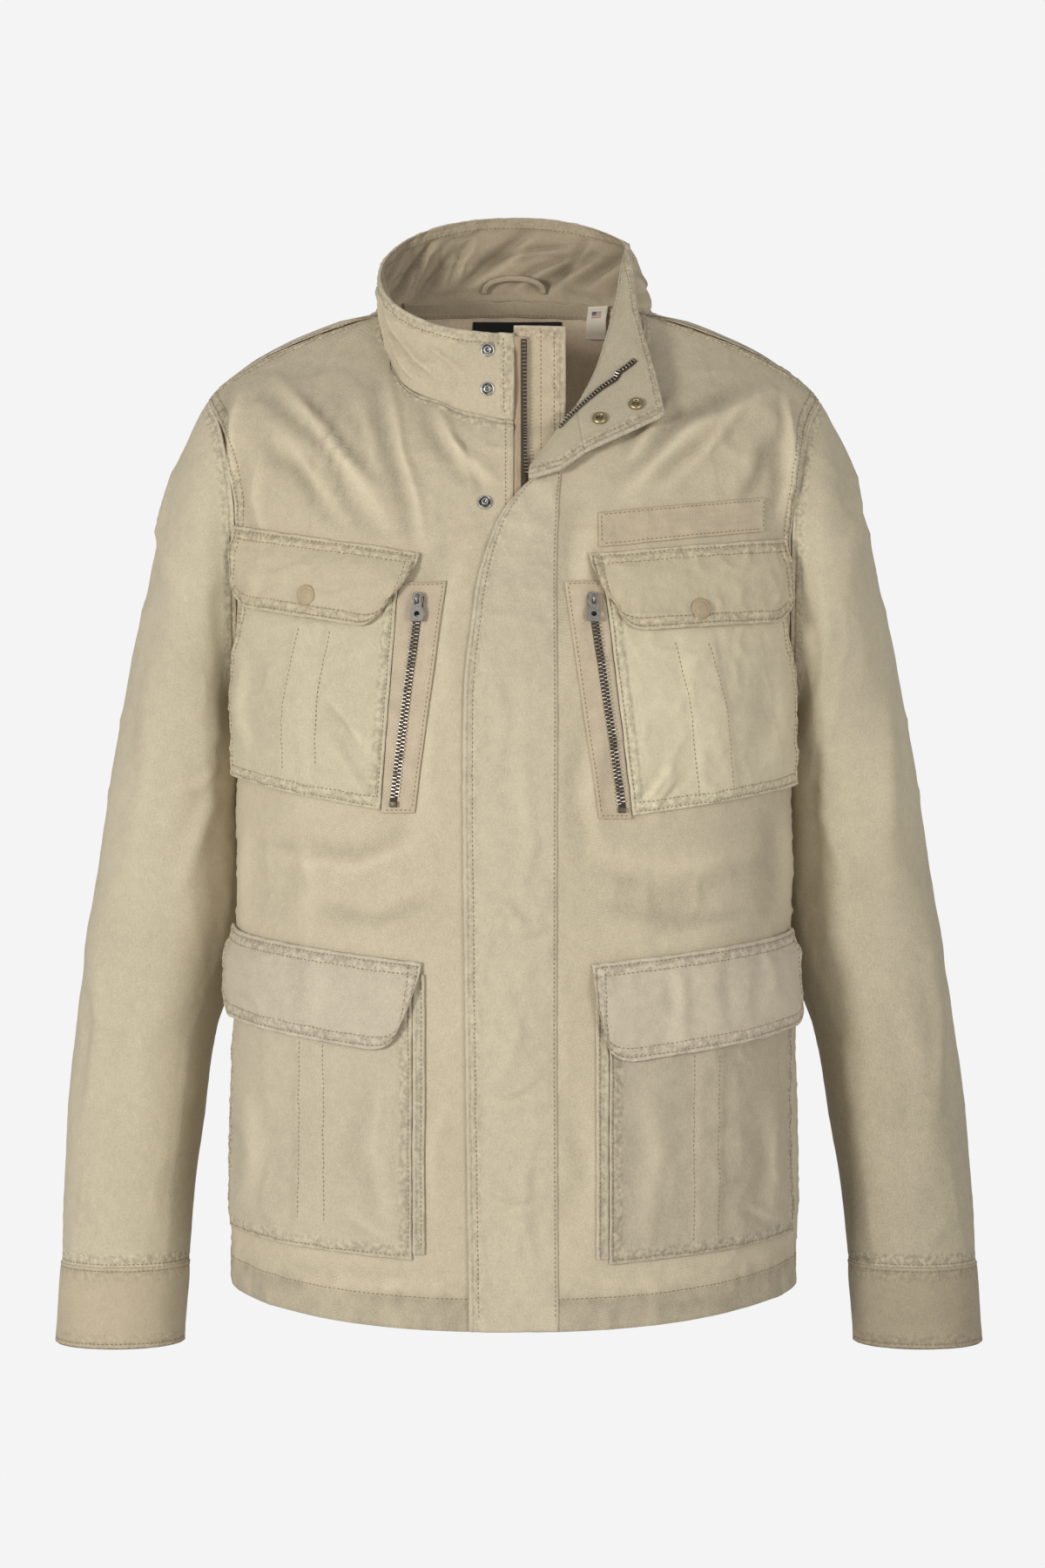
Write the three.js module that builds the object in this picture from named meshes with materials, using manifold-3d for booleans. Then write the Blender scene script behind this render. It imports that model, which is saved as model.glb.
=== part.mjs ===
import * as THREE from 'three';
import Module from 'manifold-3d';
import { mergeVertices } from 'three/addons/utils/BufferGeometryUtils.js';

const manifold = await Module();
manifold.setup();

// A field jacket, worn shape with nobody in it. Sizes are millimetres.
// +X is the wearer's left, -Y is the front and +Z is up. The form is worked out about the middle
// of the chest, and the last group moves it so that the origin is the inside of the neck at the back.

const CLOTH = 1.2; // one layer of twill
const DOUBLE = 2.2; // two layers: flaps, cuffs, collar, placket
const SEAM = 0.4; // between two pieces that are sewn edge to edge
const REST = 0.8; // between a panel and a piece that lies on it
const ROUNDING = 2.3; // exponent of the chest's rounded cross section
const HEM_FRONT = -725;
const HEM_SIDE = -708;
const ARMPIT = -290;
const SHOULDER_TIP = -62;
const NECK_FRONT = -86;
const NECK_BACK = 20;
const COLLAR_FRONT_TOP = -24;
const ROLL_START = -121; // height where the open front starts to turn outward
const QUARTER = Math.PI / 2;

// Cross sections of the body from the hem to the neck.
const BODY = [
  { z: -725, half: 207, front: 146, back: 128 },
  { z: -620, half: 206, front: 143, back: 126 },
  { z: -500, half: 204, front: 141, back: 122 },
  { z: -380, half: 203, front: 141, back: 122 },
  { z: -265, half: 203, front: 139, back: 124 },
  { z: -220, half: 208, front: 131, back: 125 },
  { z: -181, half: 218, front: 120, back: 124 },
  { z: -130, half: 231, front: 103, back: 118 },
  { z: -93, half: 231, front: 88, back: 108 },
  { z: -63, half: 223, front: 66, back: 98 },
  { z: -44, half: 203, front: 49, back: 91 },
  { z: -25, half: 174, front: 34, back: 84 },
  { z: -6, half: 130, front: 22, back: 77.5 },
  { z: 0, half: 105, front: 18, back: 75.5 },
  { z: 9, half: 98, front: 14, back: 73 },
  { z: 20, half: 88, front: 10, back: 70 },
];

// The armhole seam: how far out it lies, as a share of the body's half width.
const ARMHOLE = [
  { z: -290, share: 1 },
  { z: -270, share: 0.992 },
  { z: -245, share: 0.978 },
  { z: -216, share: 0.955 },
  { z: -190, share: 0.925 },
  { z: -166, share: 0.9 },
  { z: -142, share: 0.88 },
  { z: -118, share: 0.883 },
  { z: -100, share: 0.9 },
  { z: -85, share: 0.926 },
  { z: -76, share: 0.952 },
  { z: -68, share: 0.982 },
  { z: -62, share: 1 },
];

// The neck seam from the centre front to the neck point, then by turn to the centre back.
const NECK_SEAM = [
  { turn: 0, z: -86 },
  { turn: 0.115, z: -79 },
  { turn: 0.197, z: -71 },
  { turn: 0.3, z: -60 },
  { turn: 0.395, z: -43 },
  { turn: 0.52, z: -22 },
  { turn: 0.95, z: 0.5 },
  { turn: 1.85, z: 5 },
  { turn: 2.2, z: 9 },
  { turn: 2.5, z: 13 },
  { turn: 2.8, z: 17 },
  { turn: Math.PI, z: 20 },
];
const NECK_POINT_STEP = 6; // the row of NECK_SEAM at the shoulder seam
const CORNER_GAP = 0.07; // rows that part the front's corner there from the back's

// Sleeve sections: the outer and the inner point, the half depth and the middle's place in depth.
const SLEEVE = [
  { outX: 223, outZ: -62, inX: 204, inZ: -290, depth: 58, midY: 0 },
  { outX: 236, outZ: -85, inX: 208.5, inZ: -291, depth: 64, midY: 2 },
  { outX: 250, outZ: -121, inX: 209, inZ: -300, depth: 69, midY: 8 },
  { outX: 261, outZ: -160, inX: 206.5, inZ: -312, depth: 72, midY: 15 },
  { outX: 274, outZ: -217, inX: 203, inZ: -330, depth: 73, midY: 24 },
  { outX: 283, outZ: -255, inX: 200.5, inZ: -350, depth: 72, midY: 32 },
  { outX: 291, outZ: -294, inX: 199, inZ: -372, depth: 71, midY: 37 },
  { outX: 298.5, outZ: -332, inX: 198.5, inZ: -395, depth: 69, midY: 40 },
  { outX: 304, outZ: -371, inX: 199, inZ: -420, depth: 68, midY: 42 },
  { outX: 310, outZ: -409, inX: 200.5, inZ: -447, depth: 66, midY: 42 },
  { outX: 316, outZ: -447, inX: 204.5, inZ: -475, depth: 64, midY: 39 },
  { outX: 321.5, outZ: -486, inX: 213, inZ: -503, depth: 61, midY: 35 },
  { outX: 326, outZ: -524, inX: 223, inZ: -534, depth: 58, midY: 33 },
  { outX: 331.5, outZ: -582, inX: 230.5, inZ: -585, depth: 54, midY: 30 },
  { outX: 335, outZ: -639, inX: 238, inZ: -640, depth: 49, midY: 24 },
  { outX: 337, outZ: -697, inX: 243, inZ: -697, depth: 45, midY: 18 },
];
const CUFF_HEIGHT = 58;

// Broad folds of the cloth on the fronts: from one end to the other, half width and height.
const FRONT_FOLDS = [
  { x0: -172, z0: -62, x1: -112, z1: -132, half: 13, rise: 3.2 },
  { x0: -187, z0: -88, x1: -122, z1: -158, half: 12, rise: -2.6 },
  { x0: -92, z0: -62, x1: -74, z1: -150, half: 12, rise: -2.4 },
  { x0: 150, z0: -58, x1: 74, z1: -140, half: 14, rise: 3.4 },
  { x0: 182, z0: -76, x1: 104, z1: -138, half: 12, rise: -2.8 },
];

// Broad folds of the sleeves: place round the arm, height, lean, half width, half length and rise.
const SLEEVE_FOLDS = [
  { turn: 1.0, z: -330, lean: 0.0016, half: 0.3, reach: 110, rise: 2.6 },
  { turn: 2.3, z: -420, lean: -0.002, half: 0.28, reach: 90, rise: -3 },
  { turn: -1.1, z: -380, lean: 0.002, half: 0.3, reach: 120, rise: 2.4 },
  { turn: -2.2, z: -470, lean: -0.0016, half: 0.3, reach: 90, rise: -2.4 },
];

// The rolled edge where the wearer's left collar and front turn outward, from its top down.
const ROLL = [
  { x: 84, y: 22, z: 53 },
  { x: 80, y: 2, z: 34 },
  { x: 76, y: -17, z: 10 },
  { x: 69, y: -38, z: -18 },
  { x: 59, y: -58, z: -49 },
  { x: 45, y: -75, z: -75 },
  { x: 31, y: -88, z: -94 },
  { x: 12, y: -101, z: -121 },
];
const ROLL_AT_SEAM = 5; // the row of ROLL where the neck seam crosses it
const ROLL_NECK_ROW = 1.5; // the row of NECK_SEAM where the roll crosses it
const LEFT_EDGE_TURN = 0.03; // the fronts' edges at the zip, as turns of the body
const RIGHT_EDGE_TURN = 0.0004;

// The free edge of the turned-out part: down the collar's top edge, round its tip and along the front edge.
const LAPEL_EDGE = [
  { x: 86, y: 16, z: 54 },
  { x: 88, y: -4, z: 35 },
  { x: 91, y: -36, z: -8 },
  { x: 101, y: -64, z: -49 },
  { x: 108, y: -87, z: -84 },
  { x: 52, y: -103, z: -111 },
  { x: 34, y: -108, z: -124 },
  { x: 12, y: -111, z: -131 },
];

// Chest and lower pockets and their flaps, by distance from the centre front along the cloth.
const CHEST = [
  {
    side: 'right', sign: -1, top: -205, inTop: 81, inLow: 94, outTop: 212, out: 244,
    lowIn: -363, lowOut: -338,
    flapSlant: 26, flapIn: 66, flapOut: 212, flapFlare: 4, flapTopIn: -184, flapTopOut: -160,
    flapLowIn: -234, flapLowOut: -212, snapAt: 146, snapZ: -213,
    facingTop: 47, facingLow: 69, chainTop: 65, chainLow: 84,
  },
  {
    side: 'left', sign: 1, top: -205, inTop: 64, inLow: 84, outTop: 212, out: 244,
    lowIn: -367, lowOut: -345,
    flapSlant: 20, flapIn: 53, flapOut: 206, flapFlare: 10, flapTopIn: -185, flapTopOut: -170,
    flapLowIn: -240, flapLowOut: -228, snapAt: 131, snapZ: -223,
    facingTop: 36, facingLow: 60, chainTop: 54, chainLow: 76,
  },
];
const LOWER = [
  {
    side: 'right', sign: -1, in: 71, out: 246, top: -478, lowIn: -676, lowOut: -664, gusset: 9,
    flapSlant: 16, flapIn: 64, flapOut: 262, flapFlare: 0, flapTopIn: -470, flapTopOut: -447,
    flapLowIn: -532, flapLowOut: -508,
  },
  {
    side: 'left', sign: 1, in: 67, out: 234, top: -478, lowIn: -679, lowOut: -667, gusset: 9,
    flapSlant: 9, flapIn: 55, flapOut: 250, flapFlare: 0, flapTopIn: -471, flapTopOut: -450,
    flapLowIn: -540, flapLowOut: -516,
  },
];
const POCKET_RISE = 2.6; // how far a pocket's middle stands off the front
const FACING_RISE = 1.1;

// The storm placket: the free edge and the sewn edge at each height.
const PLACKET = [
  { z: -131, free: 12, sewn: 33 },
  { z: -140, free: 3, sewn: 32 },
  { z: -161, free: -11, sewn: 31 },
  { z: -196, free: -23, sewn: 30 },
  { z: -227, free: -28, sewn: 30 },
  { z: -285, free: -34, sewn: 30.5 },
  { z: -500, free: -33, sewn: 30 },
  { z: -722, free: -30, sewn: 31 },
];

const COLOURS = { twill: 0xb5a586, tape: 0xb99f79, brass: 0x8d7748, steel: 0x8b8b88, dark: 0x23211f };

function makeMaterial(colour, roughness, metalness) {
  return new THREE.MeshStandardMaterial({ color: colour, roughness, metalness });
}

const MATERIALS = {
  twill: makeMaterial(COLOURS.twill, 0.9, 0),
  tape: makeMaterial(COLOURS.tape, 0.9, 0),
  brass: makeMaterial(COLOURS.brass, 0.45, 1),
  steel: makeMaterial(COLOURS.steel, 0.4, 1),
  dark: makeMaterial(COLOURS.dark, 0.85, 0),
};

const jacket = new THREE.Group();

function add(name, geometry, material) {
  const mesh = new THREE.Mesh(geometry, MATERIALS[material]);
  mesh.name = name;
  jacket.add(mesh);
  return mesh;
}

function mix(a, b, t) {
  return a + (b - a) * t;
}

function ease(t) {
  const k = Math.min(1, Math.max(0, t));
  return k * k * (3 - 2 * k);
}

// A smooth curve through one column of a table, against another column that only grows or falls.
function smoothColumn(table, key, value, column) {
  const last = table.length - 1;
  const rising = table[last][key] > table[0][key];
  const low = table[rising ? 0 : last][key];
  const high = table[rising ? last : 0][key];
  const at = Math.min(high, Math.max(low, value));
  let i = 0;
  while (i < last - 1 && (rising ? table[i + 1][key] < at : table[i + 1][key] > at)) i += 1;
  const slope = (k) => {
    const a = table[Math.max(k - 1, 0)];
    const b = table[Math.min(k + 1, last)];
    return (b[column] - a[column]) / (b[key] - a[key]);
  };
  const step = table[i + 1][key] - table[i][key];
  const t = (at - table[i][key]) / step;
  const t2 = t * t;
  const t3 = t2 * t;
  return (2 * t3 - 3 * t2 + 1) * table[i][column] + (t3 - 2 * t2 + t) * slope(i) * step
    + (3 * t2 - 2 * t3) * table[i + 1][column] + (t3 - t2) * slope(i + 1) * step;
}

// A table's column between its rows, by row number.
function byRow(table, row, column) {
  const i = Math.min(table.length - 2, Math.max(0, Math.floor(row)));
  const before = table[Math.max(i - 1, 0)][column];
  const a = table[i][column];
  const b = table[i + 1][column];
  const after = table[Math.min(i + 2, table.length - 1)][column];
  const t = row - i;
  const m0 = (b - before) / 2;
  const m1 = (after - a) / 2;
  return a + m0 * t + (3 * (b - a) - 2 * m0 - m1) * t * t + (2 * (a - b) + m0 + m1) * t * t * t;
}

function bodySection(z) {
  return {
    half: smoothColumn(BODY, 'z', z, 'half'),
    front: smoothColumn(BODY, 'z', z, 'front'),
    back: smoothColumn(BODY, 'z', z, 'back'),
  };
}

// A point of the body: turn is 0 at the centre front, a quarter at the side, pi at the centre back.
function bodyBase(turn, z) {
  const section = bodySection(z);
  const sine = Math.sin(turn);
  const cosine = Math.cos(turn);
  const power = 2 / ROUNDING;
  const depth = cosine > 0 ? section.front : section.back;
  const x = section.half * Math.sign(sine) * Math.abs(sine) ** power;
  const y = -Math.sign(cosine) * depth * Math.abs(cosine) ** power;
  return new THREE.Vector3(x, y, z);
}

function bodyNormal(point) {
  const step = 2;
  const section = bodySection(point.z);
  const above = bodySection(point.z + step);
  const below = bodySection(point.z - step);
  const deep = point.y < 0 ? 'front' : 'back';
  const rx = Math.abs(point.x) / section.half;
  const ry = Math.abs(point.y) / section[deep];
  const growHalf = (above.half - below.half) / (2 * step * section.half);
  const growDepth = (above[deep] - below[deep]) / (2 * step * section[deep]);
  return new THREE.Vector3(
    Math.sign(point.x) * rx ** (ROUNDING - 1) / section.half,
    Math.sign(point.y) * ry ** (ROUNDING - 1) / section[deep],
    -(rx ** ROUNDING) * growHalf - (ry ** ROUNDING) * growDepth,
  ).normalize();
}

function frontFolds(x, z) {
  let rise = 0;
  for (const fold of FRONT_FOLDS) {
    const dx = fold.x1 - fold.x0;
    const dz = fold.z1 - fold.z0;
    const length = Math.hypot(dx, dz);
    const along = ((x - fold.x0) * dx + (z - fold.z0) * dz) / (length * length);
    const aside = ((x - fold.x0) * dz - (z - fold.z0) * dx) / length;
    const fade = ease(along * 3) * ease((1 - along) * 3);
    rise += fold.rise * fade * Math.exp(-((aside / fold.half) ** 2));
  }
  return rise;
}

function bodyAt(turn, z, lift) {
  const point = bodyBase(turn, z);
  const normal = bodyNormal(point);
  const folds = Math.cos(turn) > 0 ? frontFolds(point.x, z) : 0;
  return point.addScaledVector(normal, lift + folds);
}

// The turn that lies a distance from the centre front, measured along the cloth at one height.
function turnAt(distance, z) {
  const steps = 60;
  const last = new THREE.Vector3();
  let travelled = 0;
  let previous = bodyBase(0, z);
  for (let i = 1; i <= steps; i += 1) {
    const turn = (i / steps) * Math.PI * 0.6;
    last.copy(bodyBase(turn, z));
    const stretch = last.distanceTo(previous);
    if (travelled + stretch >= Math.abs(distance)) {
      const part = (Math.abs(distance) - travelled) / stretch;
      return Math.sign(distance) * (i - 1 + part) / steps * Math.PI * 0.6;
    }
    travelled += stretch;
    previous = last.clone();
  }
  return Math.sign(distance) * Math.PI * 0.6;
}

function frontAt(distance, z, lift) {
  return bodyAt(turnAt(distance, z), z, lift);
}

// A closed wall from a grid of outer points and a grid of inner points.
function wallGeometry(columns, rows, pairAt, round = false) {
  const across = round ? columns : columns + 1;
  const size = across * (rows + 1);
  const positions = new Float32Array(size * 2 * 3);
  for (let j = 0; j <= rows; j += 1) {
    for (let i = 0; i < across; i += 1) {
      const [outer, inner] = pairAt(i / columns, j / rows);
      outer.toArray(positions, (j * across + i) * 3);
      inner.toArray(positions, (size + j * across + i) * 3);
    }
  }
  const index = [];
  const quad = (a, b, c, d) => index.push(a, b, c, a, c, d);
  const at = (i, j, layer) => layer * size + j * across + (i % across);
  for (let j = 0; j < rows; j += 1) {
    for (let i = 0; i < columns; i += 1) {
      quad(at(i, j, 0), at(i + 1, j, 0), at(i + 1, j + 1, 0), at(i, j + 1, 0));
      quad(at(i, j, 1), at(i, j + 1, 1), at(i + 1, j + 1, 1), at(i + 1, j, 1));
    }
  }
  for (let i = 0; i < columns; i += 1) {
    quad(at(i, 0, 0), at(i, 0, 1), at(i + 1, 0, 1), at(i + 1, 0, 0));
    quad(at(i, rows, 0), at(i + 1, rows, 0), at(i + 1, rows, 1), at(i, rows, 1));
  }
  if (!round) {
    for (let j = 0; j < rows; j += 1) {
      quad(at(0, j, 0), at(0, j + 1, 0), at(0, j + 1, 1), at(0, j, 1));
      quad(at(columns, j, 0), at(columns, j, 1), at(columns, j + 1, 1), at(columns, j + 1, 0));
    }
  }
  const geometry = new THREE.BufferGeometry();
  geometry.setAttribute('position', new THREE.BufferAttribute(positions, 3));
  geometry.setIndex(signedVolume(positions, index) < 0 ? turnedOver(index) : index);
  geometry.computeVertexNormals();
  return geometry;
}

function signedVolume(positions, index) {
  const a = new THREE.Vector3();
  const b = new THREE.Vector3();
  const c = new THREE.Vector3();
  let volume = 0;
  for (let i = 0; i < index.length; i += 3) {
    a.fromArray(positions, index[i] * 3);
    b.fromArray(positions, index[i + 1] * 3);
    c.fromArray(positions, index[i + 2] * 3);
    volume += a.dot(b.cross(c));
  }
  return volume;
}

function turnedOver(index) {
  const out = [];
  for (let i = 0; i < index.length; i += 3) out.push(index[i], index[i + 2], index[i + 1]);
  return out;
}

function hemAt(turn) {
  return mix(HEM_FRONT, HEM_SIDE, Math.sin(turn) ** 2);
}

function armholeTurn(z) {
  const share = Math.min(1, smoothColumn(ARMHOLE, 'z', z, 'share'));
  return Math.asin(share ** (ROUNDING / 2));
}

// A place on the body is a turn and a height.
function place(turn, z) {
  return { turn, z };
}

function mixPlace(a, b, t) {
  return place(mix(a.turn, b.turn, t), mix(a.z, b.z, t));
}

function neckPlace(row) {
  return place(byRow(NECK_SEAM, row, 'turn'), byRow(NECK_SEAM, row, 'z'));
}

// The upper part of a panel, stretched between its centre line, its armhole and its top edge.
function yokePlace(panel, u, v) {
  const corner = { inLow: panel.centre(0), outLow: panel.arm(0), inTop: panel.top(0), outTop: panel.top(1) };
  const low = mixPlace(corner.inLow, corner.outLow, u);
  const rows = mixPlace(low, panel.top(u), v);
  const columns = mixPlace(panel.centre(v), panel.arm(v), u);
  const flat = mixPlace(low, mixPlace(corner.inTop, corner.outTop, u), v);
  return place(rows.turn + columns.turn - flat.turn, rows.z + columns.z - flat.z);
}

function panelPlace(panel, u, v) {
  if (v >= panel.waist) return yokePlace(panel, u, (v - panel.waist) / (1 - panel.waist));
  const low = mixPlace(panel.centre(0), panel.arm(0), u);
  return place(low.turn, mix(hemAt(low.turn), low.z, v / panel.waist));
}

function armholeHeight(v) {
  return mix(ARMPIT, SHOULDER_TIP, 0.5 - 0.5 * Math.cos(Math.PI * v));
}

const PANEL_ROWS = 22; // half of them lie along the armhole, and so do half of the sleeve's columns
const NECK_SHARE = 0.5; // share of a panel's top edge that is neck seam
const SIDE_GAP = 0.0005; // turn that parts the front from the back at the side
const TIP_GAP = 0.0025; // the same at the shoulder tip, and at the neck point
const NECK_GAP = 0.02;

function frontPanel(topEdge, centreTurn, centreTop) {
  return {
    waist: 0.5,
    centre: (v) => place(centreTurn, mix(ARMPIT, centreTop, v)),
    arm: (v) => place(armholeTurn(armholeHeight(v)) - SIDE_GAP, armholeHeight(v)),
    top: (u) => {
      if (u <= NECK_SHARE) return topEdge(u / NECK_SHARE);
      const neck = place(topEdge(1).turn - NECK_GAP, topEdge(1).z);
      return mixPlace(neck, place(QUARTER - TIP_GAP, SHOULDER_TIP), (u - NECK_SHARE) / (1 - NECK_SHARE));
    },
  };
}

const backPanel = {
  waist: 0.5,
  centre: (v) => place(Math.PI, mix(ARMPIT, NECK_BACK, v)),
  arm: (v) => place(Math.PI - armholeTurn(armholeHeight(v)) + SIDE_GAP, armholeHeight(v)),
  top: (u) => {
    const last = NECK_SEAM.length - 1;
    if (u <= NECK_SHARE) return neckPlace(mix(last, NECK_POINT_STEP + CORNER_GAP, u / NECK_SHARE));
    const seam = neckPlace(NECK_POINT_STEP);
    const neck = place(seam.turn + NECK_GAP, seam.z);
    return mixPlace(neck, place(QUARTER + TIP_GAP, SHOULDER_TIP), (u - NECK_SHARE) / (1 - NECK_SHARE));
  },
};

function clothPair(turn, z, lift, thick) {
  return [bodyAt(turn, z, lift), bodyAt(turn, z, lift - thick)];
}

// The front's top edge on the wearer's right follows the neck seam all the way.
function plainTop(part) {
  return neckPlace(part * (NECK_POINT_STEP - CORNER_GAP));
}

// On the wearer's left it follows the rolled edge up to the neck seam.
function rolledTop(part) {
  const start = place(LEFT_EDGE_TURN, ROLL_START);
  const crossing = neckPlace(ROLL_NECK_ROW);
  if (part < 1 / 3) return mixPlace(start, crossing, part * 3);
  return neckPlace(mix(ROLL_NECK_ROW, NECK_POINT_STEP - CORNER_GAP, (part - 1 / 3) * 1.5));
}

function buildFronts() {
  const right = frontPanel(plainTop, RIGHT_EDGE_TURN, NECK_FRONT);
  const left = frontPanel(rolledTop, LEFT_EDGE_TURN, ROLL_START);
  for (const [name, panel, sign] of [['front_right', right, -1], ['front_left', left, 1]]) {
    const pair = (u, v) => {
      const at = panelPlace(panel, u, v);
      return clothPair(at.turn * sign, at.z, 0, CLOTH);
    };
    add(name, wallGeometry(12, PANEL_ROWS, pair), 'twill');
  }
}

function buildBack() {
  const pair = (u, v) => {
    const across = 2 * u - 1;
    const at = panelPlace(backPanel, Math.abs(across), v);
    const turn = across < 0 ? -at.turn : at.turn;
    return clothPair(turn, at.z, 0, CLOTH);
  };
  add('back', wallGeometry(20, PANEL_ROWS, pair), 'twill');
}

// The armhole seam as a loop: 0 at the shoulder tip, round the front, pi at the armpit.
function armholeAt(angle) {
  const z = mix(ARMPIT, SHOULDER_TIP, 0.5 + 0.5 * Math.cos(angle));
  const turn = armholeTurn(z);
  return bodyBase(Math.sin(angle) >= 0 ? turn : Math.PI - turn, z);
}

function sleeveSection(angle, row) {
  const outX = byRow(SLEEVE, row, 'outX');
  const outZ = byRow(SLEEVE, row, 'outZ');
  const inX = byRow(SLEEVE, row, 'inX');
  const inZ = byRow(SLEEVE, row, 'inZ');
  const swing = Math.cos(angle) / 2;
  return new THREE.Vector3(
    (outX + inX) / 2 + swing * (outX - inX),
    byRow(SLEEVE, row, 'midY') - Math.sin(angle) * byRow(SLEEVE, row, 'depth'),
    (outZ + inZ) / 2 + swing * (outZ - inZ),
  );
}

const BLEND_ROWS = 3; // sections over which the armhole's shape turns into the sleeve's

function sleeveBase(angle, row) {
  const point = sleeveSection(angle, row);
  const share = Math.max(0, 1 - row / BLEND_ROWS) ** 2;
  const armhole = armholeAt(angle).sub(sleeveSection(angle, 0));
  const apart = SEAM + 0.2 + 0.5 * Math.max(0, -Math.cos(angle)) + 1.2 * Math.max(0, -Math.sin(angle));
  return point.addScaledVector(armhole, share).add(new THREE.Vector3(apart, 0, 0));
}

function sleeveFolds(angle, z) {
  const round = Math.atan2(Math.sin(angle), Math.cos(angle));
  let rise = 0;
  for (const fold of SLEEVE_FOLDS) {
    const up = (z - fold.z) / fold.reach;
    const aside = (round - fold.turn - fold.lean * (z - fold.z)) / fold.half;
    rise += fold.rise * Math.exp(-(up * up) - aside * aside);
  }
  return rise;
}

function sleeveNormal(angle, row) {
  const step = 0.02;
  const low = Math.max(0, row - step);
  const high = Math.min(SLEEVE.length - 1, row + step);
  const along = sleeveBase(angle, high).sub(sleeveBase(angle, low));
  const round = sleeveBase(angle + step, row).sub(sleeveBase(angle - step, row));
  return round.cross(along).normalize();
}

// How far one sleeve's lower end hangs further out than the other's.
const SLEEVE_SWING = { left: 4, right: -4 };

function sleevePair(side, angle, row, lift, thick) {
  const point = sleeveBase(angle, row);
  const normal = sleeveNormal(angle, row);
  const folds = sleeveFolds(angle, point.z);
  point.x += SLEEVE_SWING[side] * ease((-point.z - 420) / 330);
  const outer = point.clone().addScaledVector(normal, lift + folds);
  const inner = point.clone().addScaledVector(normal, lift + folds - thick);
  if (side === 'right') {
    outer.x *= -1;
    inner.x *= -1;
  }
  return [outer, inner];
}

function buildSleeve(side) {
  const last = SLEEVE.length - 1;
  const pair = (u, v) => sleevePair(side, u * 2 * Math.PI, v * last, 0, CLOTH);
  add(`sleeve_${side}`, wallGeometry(PANEL_ROWS, 18, pair, true), 'twill');
}

function buildCuff(side) {
  const last = SLEEVE.length - 1;
  const pair = (u, v) => {
    const [outer, inner] = sleevePair(side, u * 2 * Math.PI, last, 0.5, DOUBLE);
    const widen = new THREE.Vector3(side === 'left' ? 1 : -1, 0, 0).multiplyScalar(4 * v);
    const drop = new THREE.Vector3(0, 0, -SEAM - v * CUFF_HEIGHT);
    return [outer.add(widen).add(drop), inner.add(widen).add(drop)];
  };
  add(`cuff_${side}`, wallGeometry(PANEL_ROWS, 3, pair, true), 'twill');
}

// The collar's top edge, by half turns from the centre front.
function collarTop(angle) {
  const sine = Math.max(0, Math.sin(angle));
  return new THREE.Vector3(99 * sine ** 0.9, -8 - 70 * Math.cos(angle), 28 - 52 * Math.cos(angle));
}

function rollAt(row) {
  return new THREE.Vector3(byRow(ROLL, row, 'x'), byRow(ROLL, row, 'y'), byRow(ROLL, row, 'z'));
}

function edgeAt(row) {
  const key = ['x', 'y', 'z'];
  const i = Math.min(LAPEL_EDGE.length - 2, Math.floor(row));
  const [x, y, z] = key.map((k) => mix(LAPEL_EDGE[i][k], LAPEL_EDGE[i + 1][k], row - i));
  return new THREE.Vector3(x, y, z);
}

function neckSeamPoint(row) {
  const at = neckPlace(row);
  return bodyBase(at.turn, at.z);
}

const COLLAR_FRONT_STEPS = 6;
const COLLAR_BACK_STEPS = 5;
const COLLAR_FULL = 7.7; // row of the neck seam behind which the left side stands up fully

// One upright line of the collar, from the neck seam to its top edge.
function collarLine(side, row) {
  const low = neckSeamPoint(row);
  const last = NECK_SEAM.length - 1;
  let top = collarTop((row / last) * Math.PI);
  if (side > 0 && row < COLLAR_FULL) {
    top = rollAt(mix(ROLL_AT_SEAM, 0, (row - ROLL_NECK_ROW) / (COLLAR_FULL - ROLL_NECK_ROW)));
  }
  low.x *= side;
  top.x *= side;
  return { low, top };
}

function collarPair(side, row, v) {
  const { low, top } = collarLine(side, row);
  const up = top.clone().sub(low);
  const height = up.length();
  const start = Math.min(0.5, (side > 0 && row < NECK_POINT_STEP ? 3 : 1) / height);
  const point = low.clone().addScaledVector(up, mix(start, 1, v));
  const outward = point.clone().sub(new THREE.Vector3(0, -8, point.z));
  outward.y *= 1.1;
  outward.normalize();
  const nearRoll = side > 0 ? 9 * Math.exp(-(((row - 7.5) / 1.1) ** 2)) : 0;
  const turnedBack = nearRoll * Math.sqrt(Math.max(0, Math.sin(Math.PI * v)));
  const bulge = 2.5 * Math.sin(Math.PI * v) * Math.min(1, height / 60) + turnedBack;
  return [
    point.clone().addScaledVector(outward, bulge),
    point.clone().addScaledVector(outward, bulge - DOUBLE),
  ];
}

function buildCollar() {
  const last = NECK_SEAM.length - 1;
  const backRows = last - NECK_POINT_STEP;
  const rightSteps = COLLAR_FRONT_STEPS + COLLAR_BACK_STEPS;
  const steps = rightSteps * 2 - 1;
  const rowOf = (step) => (step <= COLLAR_FRONT_STEPS
    ? (step / COLLAR_FRONT_STEPS) * NECK_POINT_STEP
    : NECK_POINT_STEP + ((step - COLLAR_FRONT_STEPS) / COLLAR_BACK_STEPS) * backRows);
  const pair = (u, v) => {
    const step = u * steps;
    if (step <= rightSteps) return collarPair(-1, rowOf(step), v);
    const left = rightSteps * 2 - step;
    return collarPair(1, Math.max(1.9, rowOf(left)), v);
  };
  add('collar', wallGeometry(steps, 4, pair), 'twill');
}

const ROLL_APART = new THREE.Vector3(0.8, -1.1, 0.4); // from the upright collar to the turned part

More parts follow.
